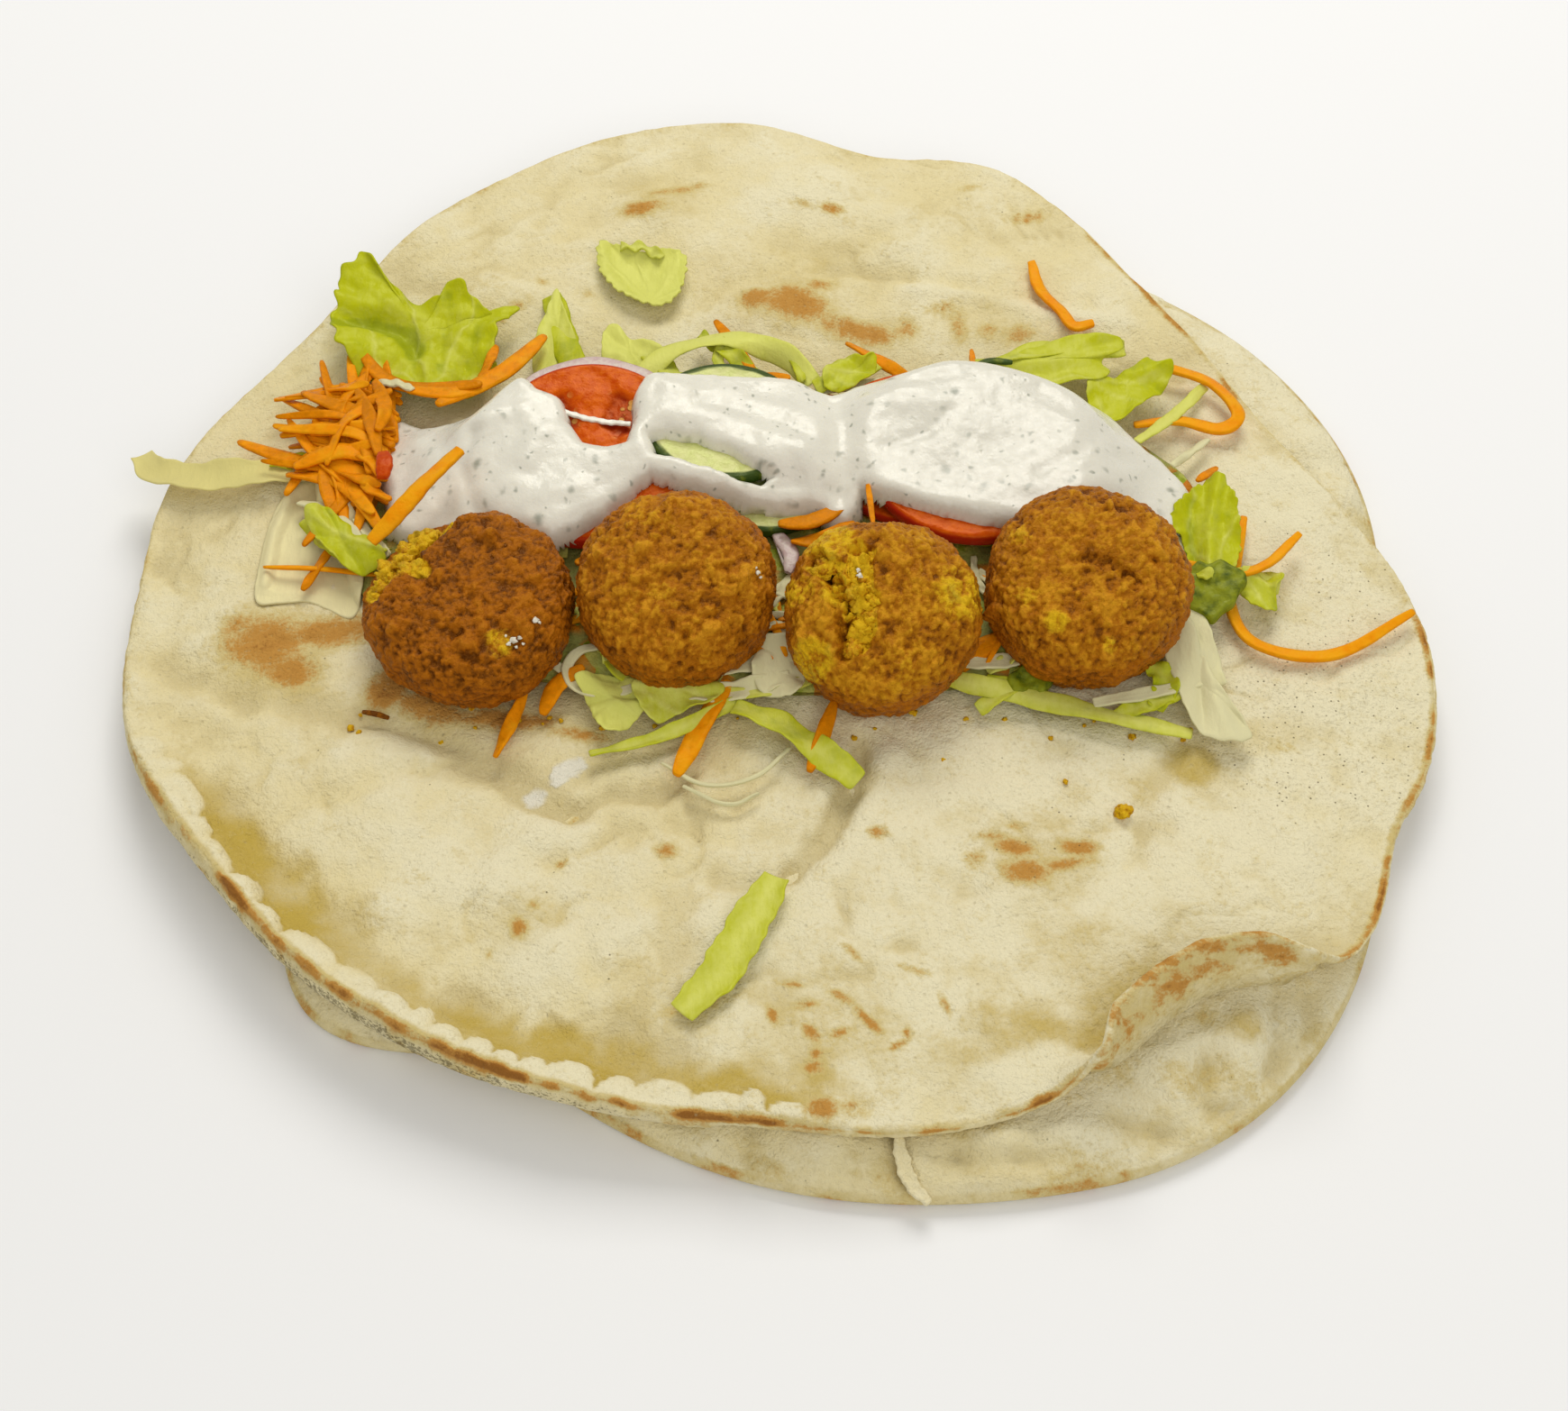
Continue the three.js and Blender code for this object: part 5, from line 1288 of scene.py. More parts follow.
def upper_under(core, normal, thick, lift):
    """The underside of the upper bread, kept off the lower one."""
    under = core - normal * (thick + 0.2 * cloud(core, 6, 5))[..., None]
    lowest = lower_top(under[..., 0], under[..., 1]) + 0.2
    under[..., 2] = np.where(lift > 0.4, under[..., 2], np.maximum(under[..., 2], lowest))
    return under


def upper_wall(top, under, thick, steps):
    """The rounded edge from the last ring of the top to that of the underside."""
    away = top[-1] - top[-3]
    away /= np.linalg.norm(away, axis=-1, keepdims=True)
    bulged = (0.7 + 0.10 * thick[-1])[None, :, None] * np.sin(np.pi * steps) ** 0.7
    wall = lerp(top[-1][None], under[-1][None], steps) + away[None] * bulged
    return wall + 0.3 * cloud(wall, 2.6, 6)[..., None] * away[None]


def upper_top_marks(core, angle, inset, lobes, fine):
    """Where the top of the upper bread is floured, golden, toasted, sooty and smeared."""
    x, y = core[..., 0], core[..., 1]
    flat = on_plane(x, y)
    edge = smooth(3 * lobe(angle, *GOLDEN_BAND["at"]))
    thin_rim = smooth(1 - inset / 2.2)
    rolled = plateau(angle, *ROLLED_LIP["at"])
    browned = 0.9 * np.max([strength * plateau(angle, at, width)
                            for at, width, strength in BROWNED_RIM], axis=0)

    ragged = GOLDEN_BAND["ragged"] * cloud(core, 12, 8, 4)
    golden = edge * smooth((GOLDEN_BAND["reach"] - inset + ragged) / 20) * smooth(1 - 1.2 * lobes)
    golden = golden * smooth(inset / 3) * (0.9 + 0.5 * cloud(core, 20, 16))
    lip_gold = lobe(angle, *RIM["lip_gold"]) * smooth((inset - 8) / 7)
    lip_gold = lip_gold * smooth((38 - inset + ragged) / 24)
    golden = np.max([golden, 0.75 * lip_gold, spots(x, y, GOLDEN), 0.7 * thin_rim * browned,
                     0.6 * edge * smooth(1.5 - inset / 1.5)], axis=0)

    patches = patchy(core)
    toast = np.max([blots(x, y, TOASTED), thin_rim * patches * (0.35 + browned),
                    edge * smooth(1.1 - inset / 1.2) * (patches + 0.3)], axis=0)
    toast = toast * (1 - rolled * smooth(1.5 - inset / 3))
    dots = smooth(5 * cloud(flat, 2.2, 17) - 0.3)
    dotted = 2.4 * rolled * smooth(1.8 - inset / 0.8) * dots * lobe(angle, *RIM["lip_dots"])
    sooted = 2.2 * rolled * smooth(1.8 - inset / 1.6) * dots * lobe(angle, *RIM["lip_soot"])
    wobble = 0.9 * cloud(flat, 3.5, 18)
    return {
        "gold": golden,
        "toast": np.maximum(toast, dotted),
        "soot": np.maximum(spots(x, y, SOOTY), sooted),
        "flour": np.maximum(spots(x, y, FLOURED), 1.6 * rolled * smooth(2.0 - inset / 1.8)),
        "smear": np.max([smooth(0.5 + (inside(x, y, outline) + wobble) / 3.4)
                         for outline in SAUCE_SMEARS], axis=0),
        "high": np.clip(relief(x, y, PUFFS, FOLDS, DIMPLES) / 1.6 + fine, -1.5, 1.5),
    }


def upper_rest_marks(rest, step, angle, inset, rim_patches):
    """The same for its edge and underside. A step is 0 at the top of the edge and 1 below it."""
    lip = plateau(angle, *ROLLED_LIP["at"])
    lip_edge = lip * smooth(1.8 - 1.8 * step)
    crest = (rim_patches + 0.5) * smooth(1.2 - 3.2 * step) * (0.2 + 0.95 * lobe(angle, *RIM["crest"]))
    crest = crest * (1 - lip)
    dull = 0.42 * smooth(1.3 - inset / 11) * smooth(2 * step)
    dull = lerp(0.5 * smooth(3 * cloud(rest, 7, 12)), dull, lip)
    lip = lip * smooth(1.3 - inset / 12) * smooth(2 * step)
    return {
        "toast": np.maximum(crest, dull),
        "lip": lip,
        "gold": 0.05 + 0.4 * cloud(rest, 10, 13) + 0.3 * (lip + crest - lip_edge),
        "flour": 1.6 * lip_edge,
        "soot": 0.1,
        "high": 0.2 * step - 0.2,
        # The wall mark sets where the edge gets its painted shade.
        "wall": smooth(2.4 * step) * lobe(angle, *RIM["wall"]) * (step < 1),
    }


def upper_sheet(u, v):
    """Lays out the upper bread: its top from the middle to the rim, its edge, then its underside."""
    tops, walls = UPPER_MESH["top"], UPPER_MESH["wall"]
    around = np.interp(u[:1], *DENSE_FRONT)
    rim = upper_rim(around)
    angle = np.broadcast_to(around, (tops, u.shape[1]))
    inset = rim * fade_in(tops, 2.2, 0.55)[::-1, None]
    in_from_rim, lift = lip_roll(angle, inset)
    x, y = over_disc(1 - in_from_rim / rim, angle, rim)
    puff = lobe(angle, *PUFFED_RIM["at"]) * smooth(1 - inset / PUFFED_RIM["reach"])
    core = xyz(x, y, upper_top(x, y) + PUFFED_RIM["rise"] * puff + lift)
    normal = facing(core)
    fine, lobes = upper_fine(core, angle, inset, rim)
    top = core + normal * fine[..., None]

    thick = 3.0 + 5.2 * puff - 1.1 * smooth(1 - inset / 9) * (1 - lobe(angle, *RIM["thick"]))
    under = upper_under(core, normal, thick, lift)
    steps = (np.arange(walls) + 1)[:, None, None] / (walls + 1)
    wall = upper_wall(top, under, thick, steps)
    below = u.shape[0] - tops - walls
    pick = np.round((1 - np.linspace(0, 1, below) ** 1.5) * (tops - 1)).astype(int)
    rest = np.concatenate([wall, under[pick]])
    step = np.concatenate([np.broadcast_to(steps[..., 0], wall.shape[:2]), np.ones_like(inset[pick])])
    rest_inset = np.concatenate([0 * wall[..., 0], inset[pick]])
    marks = both(upper_top_marks(core, angle, inset, lobes, fine),
                 upper_rest_marks(rest, step, np.broadcast_to(around, step.shape), rest_inset,
                                  patchy(core[-1])), inset.shape)
    return np.concatenate([top, rest]), marks


def lower_sheet(u, v):
    """Lays out the lower bread in the same way. Its top is plain where the upper bread lies."""
    tops, walls = LOWER_MESH["top"], LOWER_MESH["wall"]
    around = 360 * u[:1]
    rim = lower_rim(around)
    angle = np.broadcast_to(around, (tops, u.shape[1]))
    share = 1 - fade_in(tops, 2.2, 0.5)[::-1, None] * np.ones_like(rim)
    share[-1] = 1 - 0.4 / rim
    x, y = over_disc(share, angle, rim)
    z = lower_top(x, y)
    shown = smooth((np.hypot(x, y) - LOWER_SHOWN["from"]) / LOWER_SHOWN["over"])
    folds = 2.4 * relief(x, y, LOWER_PUFFS, LOWER_FOLDS) * shown
    core = xyz(x, y, z)
    inset = rim * (1 - share)
    uneven = cloud(core, 16, 21) * 1.2 + cloud(core, 5, 22, 4) * 0.4 - 0.7 * wrinkled(core, 18, 23)
    top = core + facing(core) * ((folds + uneven * shown) * smooth(inset / 2.5))[..., None]
    top[..., 2] = np.where(shown < 0.5, np.minimum(top[..., 2], z), top[..., 2])

    levels = np.linspace(1, 0, walls + 2)[1:-1, None]
    out = rim + 1.3 * np.sin(np.pi * levels)
    turn = np.radians(around)
    wall = xyz(out * np.cos(turn), out * np.sin(turn), levels * top[-1, :, 2][None])
    below = np.linspace(0.985, 0, u.shape[0] - tops - walls)[:, None] * np.ones_like(rim)
    rest = np.concatenate([wall, on_plane(*over_disc(below, np.broadcast_to(around, below.shape), rim))])

    rim_toast = 0.9 * lobe(angle, *LOWER_RIM["toasted"]) * smooth(1 - inset / 2.6)
    rim_toast = rim_toast * smooth(0.5 + 1.5 * cloud(core, 9, 26))
    return np.concatenate([top, rest]), both({
        "toast": np.maximum(rim_toast, 0.3 * smooth(2 * cloud(core, 10, 27))),
        "gold": np.maximum(spots(x, y, LOWER_GOLD), 0.1 + 0.2 * cloud(core, 12, 28)),
        "soot": 0.15 * lobe(angle, *LOWER_RIM["sooty"]),
        "high": np.clip(0.35 * folds + 0.2 * uneven, -1, 1),
        # Flour, and painted light where the upper bread shades the front right.
        "flour": spots(x, y, LOWER_FLOUR_AND_LIGHT),
    # On the edge and underside the wall mark darkens the dough a little: a painted shade.
    }, {"toast": 0.7 * smooth(0.3 + 1.5 * cloud(rest, 9, 25)), "gold": 0.4, "soot": 0.1, "wall": 0.2},
        x.shape)


class WRAP_OT_breads(bpy.types.Operator):
    """Model the two flatbreads"""
    bl_idname = "wrap.breads"
    bl_label = "Flatbreads"

    def execute(self, context):
        for name, mesh, place, node in (
                ("flatbread_below", LOWER_MESH, lower_sheet, "bread_lower"),
                ("flatbread_top", UPPER_MESH, upper_sheet, "bread_upper")):
            piece = sheet(mesh["sectors"], mesh["rings"], place)
            close(piece)
            finish(piece, name, shared("flatbread"), "bread", node)
        return {"FINISHED"}


# ==== Falafels ====

def ball(cuts):
    """A subdivided cube, and directions from its middle to its vertices."""
    piece = begin(bpy.ops.mesh.primitive_cube_add, size=2, calc_uvs=False)
    edit(piece, (bpy.ops.mesh.subdivide, {"number_cuts": cuts}))
    even = np.tan(points_of(piece) * math.pi / 4)
    return piece, even / np.linalg.norm(even, axis=1, keepdims=True)


def patty(spec, way, seed):
    """A smooth patty about its own middle: its points, their normals and its half sizes."""
    flat = np.hypot(way[:, 0], way[:, 1])
    box = CRUST["box"]
    swell = (flat ** box + np.abs(way[:, 2]) ** box) ** (-1 / box)
    turn = np.arctan2(way[:, 1], way[:, 0])
    lobed = 1 + CRUST["lobes"] * np.sin(3 * turn + seed)
    half = np.array([spec["across"] / 2, spec["across"] / 2, spec["thick"] / 2])
    points = way * swell[:, None] * half * np.stack([lobed, lobed, np.ones_like(lobed)], axis=1)
    normal = np.sign(points) * np.abs(points) ** 2 / half ** 3
    normal[:, :2] *= (np.hypot(*points[:, :2].T) / (np.abs(points[:, :2]).max(axis=1) + 1e-6))[:, None]
    normal = way * 0.4 + normal / (np.linalg.norm(normal, axis=1, keepdims=True) + 1e-9)
    return points, normal / np.linalg.norm(normal, axis=1, keepdims=True), half


def nuggets(radius, seed):
    """Seeded lumps all over a face: x, y, radius and height."""
    rng = random.Random(int(7 * seed))
    for _ in range(CRUST["bits"]):
        turn, out = rng.uniform(0, 2 * math.pi), 0.82 * radius * math.sqrt(rng.random())
        yield (out * math.cos(turn), out * math.sin(turn), rng.uniform(*CRUST["bit_radius"]),
               rng.uniform(*CRUST["bit_rise"]))


def crust_shape(spec, way, seed):
    """A craggy fried patty: its points about its own middle, and their marks."""
    look = settings("falafel")
    points, normal, half = patty(spec, way, seed)
    x, y = points[:, 0], points[:, 1]
    face = points[:, 2] > 0
    grain = look.crumb / MM
    coarse, small = crumbs(points, grain, seed), crumbs(points, grain * 0.5, seed + 3)
    lumpy, rough = cloud(points, 9, seed), cloud(points, 3, seed + 7)
    knobbly = cloud(points, 5.2, seed + 11)
    side = smooth((0.74 - np.abs(points[:, 2]) / half[2]) / 0.4)
    push = ((0.55 * coarse + 0.30 * small) * (1 - 0.3 * side) + 0.36 * rough + 0.55 * lumpy
            + 0.5 * knobbly - 0.5)
    push = push * look.crag / MM
    high = lerp(0.5 * coarse + 0.4 * small + 0.3 * rough + 0.2 * lumpy, 0.4, 0.25 * side)
    gold = np.zeros(len(points))
    ragged = 1.6 * lumpy + 0.9 * rough
    for path, width, depth, golden in spec["wounds"]:
        deep = smooth((width / 2 + 1.0 * ragged - off_line(x, y, path)) / 1.1 + 0.4)
        deep = deep * face
        push = push - deep * depth * (1 - 0.4 * coarse - 0.5 * rough)
        gold = np.maximum(gold, golden * deep)
        high = high - 0.35 * deep * (1 - golden)
    for px, py, radius, rise in [*nuggets(half[0], seed), *spec["lumps"]]:
        bump = smooth(1.1 - np.hypot(x - px, y - py) / radius + 0.3 * rough) * face
        push, high = push + rise * bump, high + 0.26 * bump
    for px, py, radius, strength in spec["gold"]:
        near = smooth(1.3 - np.hypot(x - px, y - py) / radius) * face
        gold = np.maximum(gold, strength * near)
    return points + normal * push[:, None], {"high": high, "gold": gold, "side": side,
                                             "tint": spec["tint"]}


def face_level(spec, x, y):
    """How high a patty's face is over its middle."""
    out = math.hypot(x, y) / spec["across"] * 2
    return spec["thick"] / 2 * (1 - out ** CRUST["box"]) ** (1 / CRUST["box"])


def on_patty(spec, x, y, z):
    """A point given from a patty's own middle, in its place on the bread."""
    return leaned(np.array([[x, y, z]]), spec)[0]


def broken_bits(spec, seed):
    """Loose golden crumbs in and round a patty's broken places."""
    rng = random.Random(seed)
    bits = []
    for path, width, depth, golden in spec["wounds"]:
        if golden < 0.5:
            continue
        line = through([(*spot, 0) for spot in path], 24)
        for _ in range(int(BROKEN["density"] * width * np.ptp(line, axis=0).max())):
            x, y, _ = line[rng.randrange(24)]
            off, turn = rng.uniform(0.1, 0.5) * width, rng.uniform(0, 2 * math.pi)
            x, y = x + off * math.cos(turn), y + off * math.sin(turn)
            if math.hypot(x, y) / spec["across"] * 2 > BROKEN["within"]:
                continue
            radius = rng.uniform(*BROKEN["sizes"])
            z = face_level(spec, x, y) - depth * rng.uniform(0.5, 1.0) - 0.3 * radius
            bits.append(lump(on_patty(spec, x, y, z), radius, 0.8, x, 4, 0.9,
                             high=rng.uniform(0.1, 1.1), gold=rng.uniform(0.5, 1.2), side=0.0,
                             tint=spec["tint"]))
    return bits


def leaned(points, spec):
    """Tilts a patty's points towards the front and moves them to its place."""
    lean = math.radians(spec["lean"])
    c, s = math.cos(lean), math.sin(lean)
    turn = np.array([[1, 0, 0], [0, c, -s], [0, s, c]])
    return points @ turn.T + np.array(spec["at"])


class WRAP_OT_falafels(bpy.types.Operator):
    """Model the four falafels and the crumbs of their broken places"""
    bl_idname = "wrap.falafels"
    bl_label = "Falafels"

    def execute(self, context):
        fried = shared("fried_crust")
        for number, spec in enumerate(FALAFELS, 1):
            piece, way = ball(settings("falafel").cuts)
            points, marks = crust_shape(spec, way, 4.0 + number)
            put(piece, leaned(points, spec))
            mark(piece, **marks)
            close(piece)
            whole = joined([piece, *broken_bits(spec, number)])
            finish(whole, f"falafel_crust_{number}", fried, "falafel_crust", f"falafel_{number}")
        return {"FINISHED"}


# ==== Slices ====

def slice_shape(u, v, spec, tomato):
    """A round slice: its top face from the middle out, its rim, then its lower face."""
    middle, radius, thick, slope = spec
    peeling = radius < PEELINGS
    turn = 2 * np.pi * u
    rounding = 0.34 * thick
    top = v < 0.5
    along = np.where(top, v, 1 - v) * 2
    face = np.clip(along / 0.88, 0, 1)
    bend = np.clip((along - 0.88) / 0.12, 0, 1) * np.pi / 2
    out = (radius - rounding) * face + rounding * np.sin(bend)
    out = out * (1 + 0.015 * np.sin(2 * turn + middle[0]))
    level = (thick / 2 - rounding) + rounding * np.cos(bend)
    x, y = out * np.cos(turn), out * np.sin(turn)
    share = out / radius
    if tomato:
        sector = 0.5 + 0.5 * np.cos(5 * turn + 0.9 + 1.3 * np.sin(turn + 1))
        gel = smooth((share - 0.24) / 0.1) * smooth((0.74 - share) / 0.08) * smooth(sector * 2.2 - 0.35)
        skin = smooth((share - 0.965) / 0.02)
    else:
        gel = smooth((0.58 - share + 0.05 * np.cos(3 * turn)) / 0.1)
        skin = smooth((share - 0.90 + 0.01 * np.sin(7 * turn)) / 0.025)
        if peeling:
            skin = gel = np.ones_like(x)
            x = x * (1 + 0.16 * np.sin(2 * turn + 1) + 0.1 * np.sin(5 * turn))
            y = y * (1 + 0.12 * np.sin(3 * turn) + 0.08 * np.sin(7 * turn))
    uneven, sunken = 0.8 if peeling else 0.28, 0.55 if tomato else 0.15
    wet = uneven * cloud(on_plane(x, y), 4.5, 31) - sunken * gel
    level = level + np.where(face < 1, wet, 0)
    z = np.where(top, level, -level) + slope[0] * x + slope[1] * y
    points = xyz(x, y, z) + np.array(middle)
    return points, {"gel": gel, "skin": skin}


class WRAP_OT_slices(bpy.types.Operator):
    """Model the tomato and cucumber slices"""
    bl_idname = "wrap.slices"
    bl_label = "Slices"

    def execute(self, context):
        for node, spec in SLICES.items():
            kind = node.split("_")[0]
            detail = GRIDS["peeling" if spec[1] < PEELINGS else "slice"]
            piece = sheet(*detail, lambda u, v: slice_shape(u, v, spec, kind == "tomato"))
            close(piece)
            finish(piece, "cut_" + node, shared("cut_" + kind), kind, node)
        return {"FINISHED"}


def onion_shape(u, v, spec):
    """Part of an onion ring with a rounded section, thin at its ends."""
    middle, ring, (first, last), width, high = spec
    turn = np.radians(lerp(first, last, u))
    belly = 0.35 + 0.65 * np.sin(np.pi * u) ** 0.6
    section = 2 * np.pi * v
    out = ring + 0.5 * width * belly * np.sign(np.cos(section)) * np.abs(np.cos(section)) ** 0.6
    level = 0.5 * high * belly * np.sign(np.sin(section)) * np.abs(np.sin(section)) ** 0.6
    out = out + 0.25 * np.sin(9 * turn)
    points = xyz(out * np.cos(turn), out * np.sin(turn), level) + np.array(middle)
    return points, {"skin": smooth((np.cos(section) - 0.55) / 0.3)}


class WRAP_OT_onions(bpy.types.Operator):
    """Model the pieces of onion"""
    bl_idname = "wrap.onions"
    bl_label = "Onion"

    def execute(self, context):
        look = onion_finish()
        for node, spec in ONIONS.items():
            piece = sheet(*GRIDS["onion"], lambda u, v: onion_shape(u, v, spec))
            close(piece)
            edit(piece, (bpy.ops.mesh.select_all, {"action": "DESELECT"}),
                 (bpy.ops.mesh.select_non_manifold, {}), (bpy.ops.mesh.fill, {}))
            finish(piece, "cut_" + node, look, "onion", node)
        return {"FINISHED"}


# ==== Heap, shreds and leaves ====

def heap_reach(heap, turn):
    """How far a heap reaches from its middle, at an angle in radians."""
    box = heap["box"]
    return (np.abs(np.cos(turn) / heap["half"][0]) ** box
            + np.abs(np.sin(turn) / heap["half"][1]) ** box) ** (-1 / box)


def heap_share(heap, x, y):
    """How far out a point is: 0 in the middle of the heap and 1 on its outline."""
    dx, dy = x - heap["middle"][0], y - heap["middle"][1]
    return np.hypot(dx, dy) / heap_reach(heap, np.arctan2(dy, dx))


def heap_top(heap, x, y):
    """The rounded top of a heap."""
    return lerp(heap["bottom"], heap["top"], np.sqrt(np.maximum(0, 1 - heap_share(heap, x, y) ** 7)))


def ground(x, y):
    """The top of the breads and heaps."""
    level = upper_top(x, y)
    for heap in (HEAP, BUNDLE):
        within = heap_share(heap, x, y) < 1
        level = np.where(within, np.maximum(level, heap_top(heap, x, y) - 0.6), level)
    return level


def ground_at(x, y):
    """The same at a single point."""
    return float(ground(np.array(x), np.array(y)))


def core_shape(u, v, heap):
    """A lumpy heap with a flat bottom, from the middle of its top out, down and back."""
    turn = 2 * np.pi * u
    share = np.interp(v, [0, 0.82, 0.9, 1], [0, 0.985, 0.98, 0])
    reach = heap_reach(heap, turn)
    x = heap["middle"][0] + share * reach * np.cos(turn)
    y = heap["middle"][1] + share * reach * np.sin(turn)
    lumps = cloud(on_plane(x, y), 7, 41, 4)
    top = heap_top(heap, x, y) - 0.9 + 0.8 * lumps
    z = np.where(v < 0.86, np.maximum(top, heap["bottom"] + 0.1), heap["bottom"])
    return xyz(x, y, z), {"high": lumps, "shade": 0.1}


def ribbon(path, width, columns=16, lanes=2, taper=0.5, ruffle=0.0, waves=2.0, cup=0.0, twist=0.0,
           ragged=0.06, lift=0.7, draped=True, full=0.5, seed=0, **marks):
    """A strip along a path, with its sides drawn in towards the ends."""
    rng = random.Random(seed * 7 + 3)
    phase, wander = rng.uniform(0, 6.28), rng.uniform(0, 6.28)
    line = through(path, columns + 1)
    if draped:
        line[:, 2] = np.maximum(line[:, 2], ground(line[:, 0], line[:, 1]) + lift)
    along = np.gradient(line, axis=0)
    along /= np.linalg.norm(along, axis=1, keepdims=True)
    side = np.cross((0, 0, 1), along)
    side /= np.linalg.norm(side, axis=1, keepdims=True) + 1e-9
    upward = np.cross(along, side)
    t = np.linspace(0, 1, columns + 1)
    roll = twist * np.sin(2 * np.pi * t * 0.8 + wander)
    side, upward = (np.cos(roll)[:, None] * side + np.sin(roll)[:, None] * upward,
                    np.cos(roll)[:, None] * upward - np.sin(roll)[:, None] * side)
    body = taper + (1 - taper) * np.sin(np.pi * np.clip(t, 0.02, 0.98)) ** full
    half = 0.5 * width * body

    def place(u, v):
        q = 2 * v - 1
        station = np.round(u * columns).astype(int)
        jag = 1 + ragged * np.sin(23 * u + 5 * q + phase) + ragged * np.sin(51 * u + wander)
        out = q * half[station] * jag
        wave = ruffle * np.abs(q) * np.sin(2 * np.pi * waves * u + phase + 1.4 * np.sign(q))
        up = wave + cup * half[station] * (q ** 2 - 0.4)
        points = line[station] + side[station] * out[..., None] + upward[station] * up[..., None]
        return points, {**marks, "rib": 1 - np.abs(q)}

    return sheet(columns, lanes, place)


def thicken(piece, thick, rounds=1, crisp=0.0):
    """Gives a sheet its thickness and rounds its edges, less so when crisp."""
    modify(piece, "SOLIDIFY", thickness=thick * MM, offset=0, edge_crease_inner=crisp,
           edge_crease_outer=crisp)
    if rounds:
        modify(piece, "SUBSURF", levels=rounds, render_levels=rounds)


def bundled():
    """Seeded carrot shreds piled on the bundle: path and width."""
    rng, pile = random.Random(5), BUNDLE_SHREDS
    for _ in range(pile["count"]):
        turn, out = rng.uniform(0, 2 * math.pi), math.sqrt(rng.random())
        x = pile["middle"][0] + out * pile["half"][0] * math.cos(turn)
        y = pile["middle"][1] + out * pile["half"][1] * math.sin(turn)
        heading = math.radians(rng.choice((rng.uniform(128, 165), rng.uniform(155, 195),
                                           rng.uniform(100, 140), rng.uniform(60, 100))))
        reach = 0.5 * rng.uniform(*pile["long"])
        dx, dy = reach * math.cos(heading), reach * math.sin(heading)
        rise = pile["high"] * (1 - out ** 2) * rng.uniform(0.2, 1)
        base = ground_at(x, y)
        bow = rng.uniform(-pile["bow"], pile["bow"])
        ends = [(x - dx, y - dy, base + 0.7 * rise), (x - bow * dy, y + bow * dx, base + rise + 0.6),
                (x + dx, y + dy, base + 0.4 * rise)]
        yield [(min(px, pile["until"]), py, pz) for px, py, pz in ends], rng.uniform(*pile["wide"]), 0.0


def scattered(kind, count, seed):
    """Seeded shreds that lean out all round the heap: path, width and ruffle."""
    rng = random.Random(seed)
    cut = SHREDS[kind]
    (left, right), (front, back) = SEEDED["within"]
    for _ in range(count):
        turn = rng.uniform(0, 2 * math.pi)
        out = rng.uniform(*SEEDED["share"]) * heap_reach(HEAP, turn)
        x = HEAP["middle"][0] + out * math.cos(turn)
        y = HEAP["middle"][1] + out * math.sin(turn)
        heading = rng.uniform(0, 2 * math.pi)
        length = rng.uniform(*cut["long"])
        bow = rng.uniform(-SEEDED["bow"], SEEDED["bow"]) * length
        ahead, aside = (math.cos(heading), math.sin(heading)), (-math.sin(heading), math.cos(heading))
        dx, dy = 0.5 * length * ahead[0], 0.5 * length * ahead[1]
        ends = [(x - dx, y - dy), (x + bow * aside[0], y + bow * aside[1]), (x + dx, y + dy)]
        ends = [(max(left, min(right, px)), max(front, min(back, py))) for px, py in ends]
        rise = rng.uniform(*SEEDED["rise"])
        path = [(px, py, ground_at(px, py) + rise * k) for (px, py), k in zip(ends, (0.4, 1, 0.4))]
        yield path, rng.uniform(*cut["wide"]), cut["ruffle"]


def shred(kind, number, placed, rng, path, width, ruffle):
    """One shred of a kind, with a finer mesh when it is placed and soft."""
    cut = SHREDS[kind]
    soft = kind != "carrot"
    columns, lanes = (22, 6) if soft and placed else (14, cut["lanes"])
    return ribbon(path, width, columns=columns, lanes=lanes, taper=cut["taper"], full=cut["full"],
                  ruffle=ruffle, waves=rng.uniform(1.2, 3.2),
                  cup=rng.uniform(-0.25, 0.45) if soft else 0.0, twist=rng.uniform(0, cut["twist"]),
                  ragged=cut["ragged"], lift=0.5 + cut["thick"] / 2, seed=number,
                  shade=rng.uniform(0, cut["shade"]),
                  pale=rng.uniform(0, 0.7) if kind == "lettuce" else 0.9)


def torn_piece(outline, level, ruffle, pale, seed):
    """A small torn piece of leaf with two creases."""
    far = len(outline) // 2
    creases = [([outline[0], outline[far]], 2.2, -1.3), ([outline[1], outline[far + 1]], 1.3, 0.9)]
    spec = {"outline": outline, "level": level, "slope": (0, 0.02), "ruffle": ruffle, "waves": 3,
            "dish": 0.6, "pale": pale, "spine": outline[0], "folds": creases}
    return leaf(spec, *GRIDS["torn leaf"], seed)


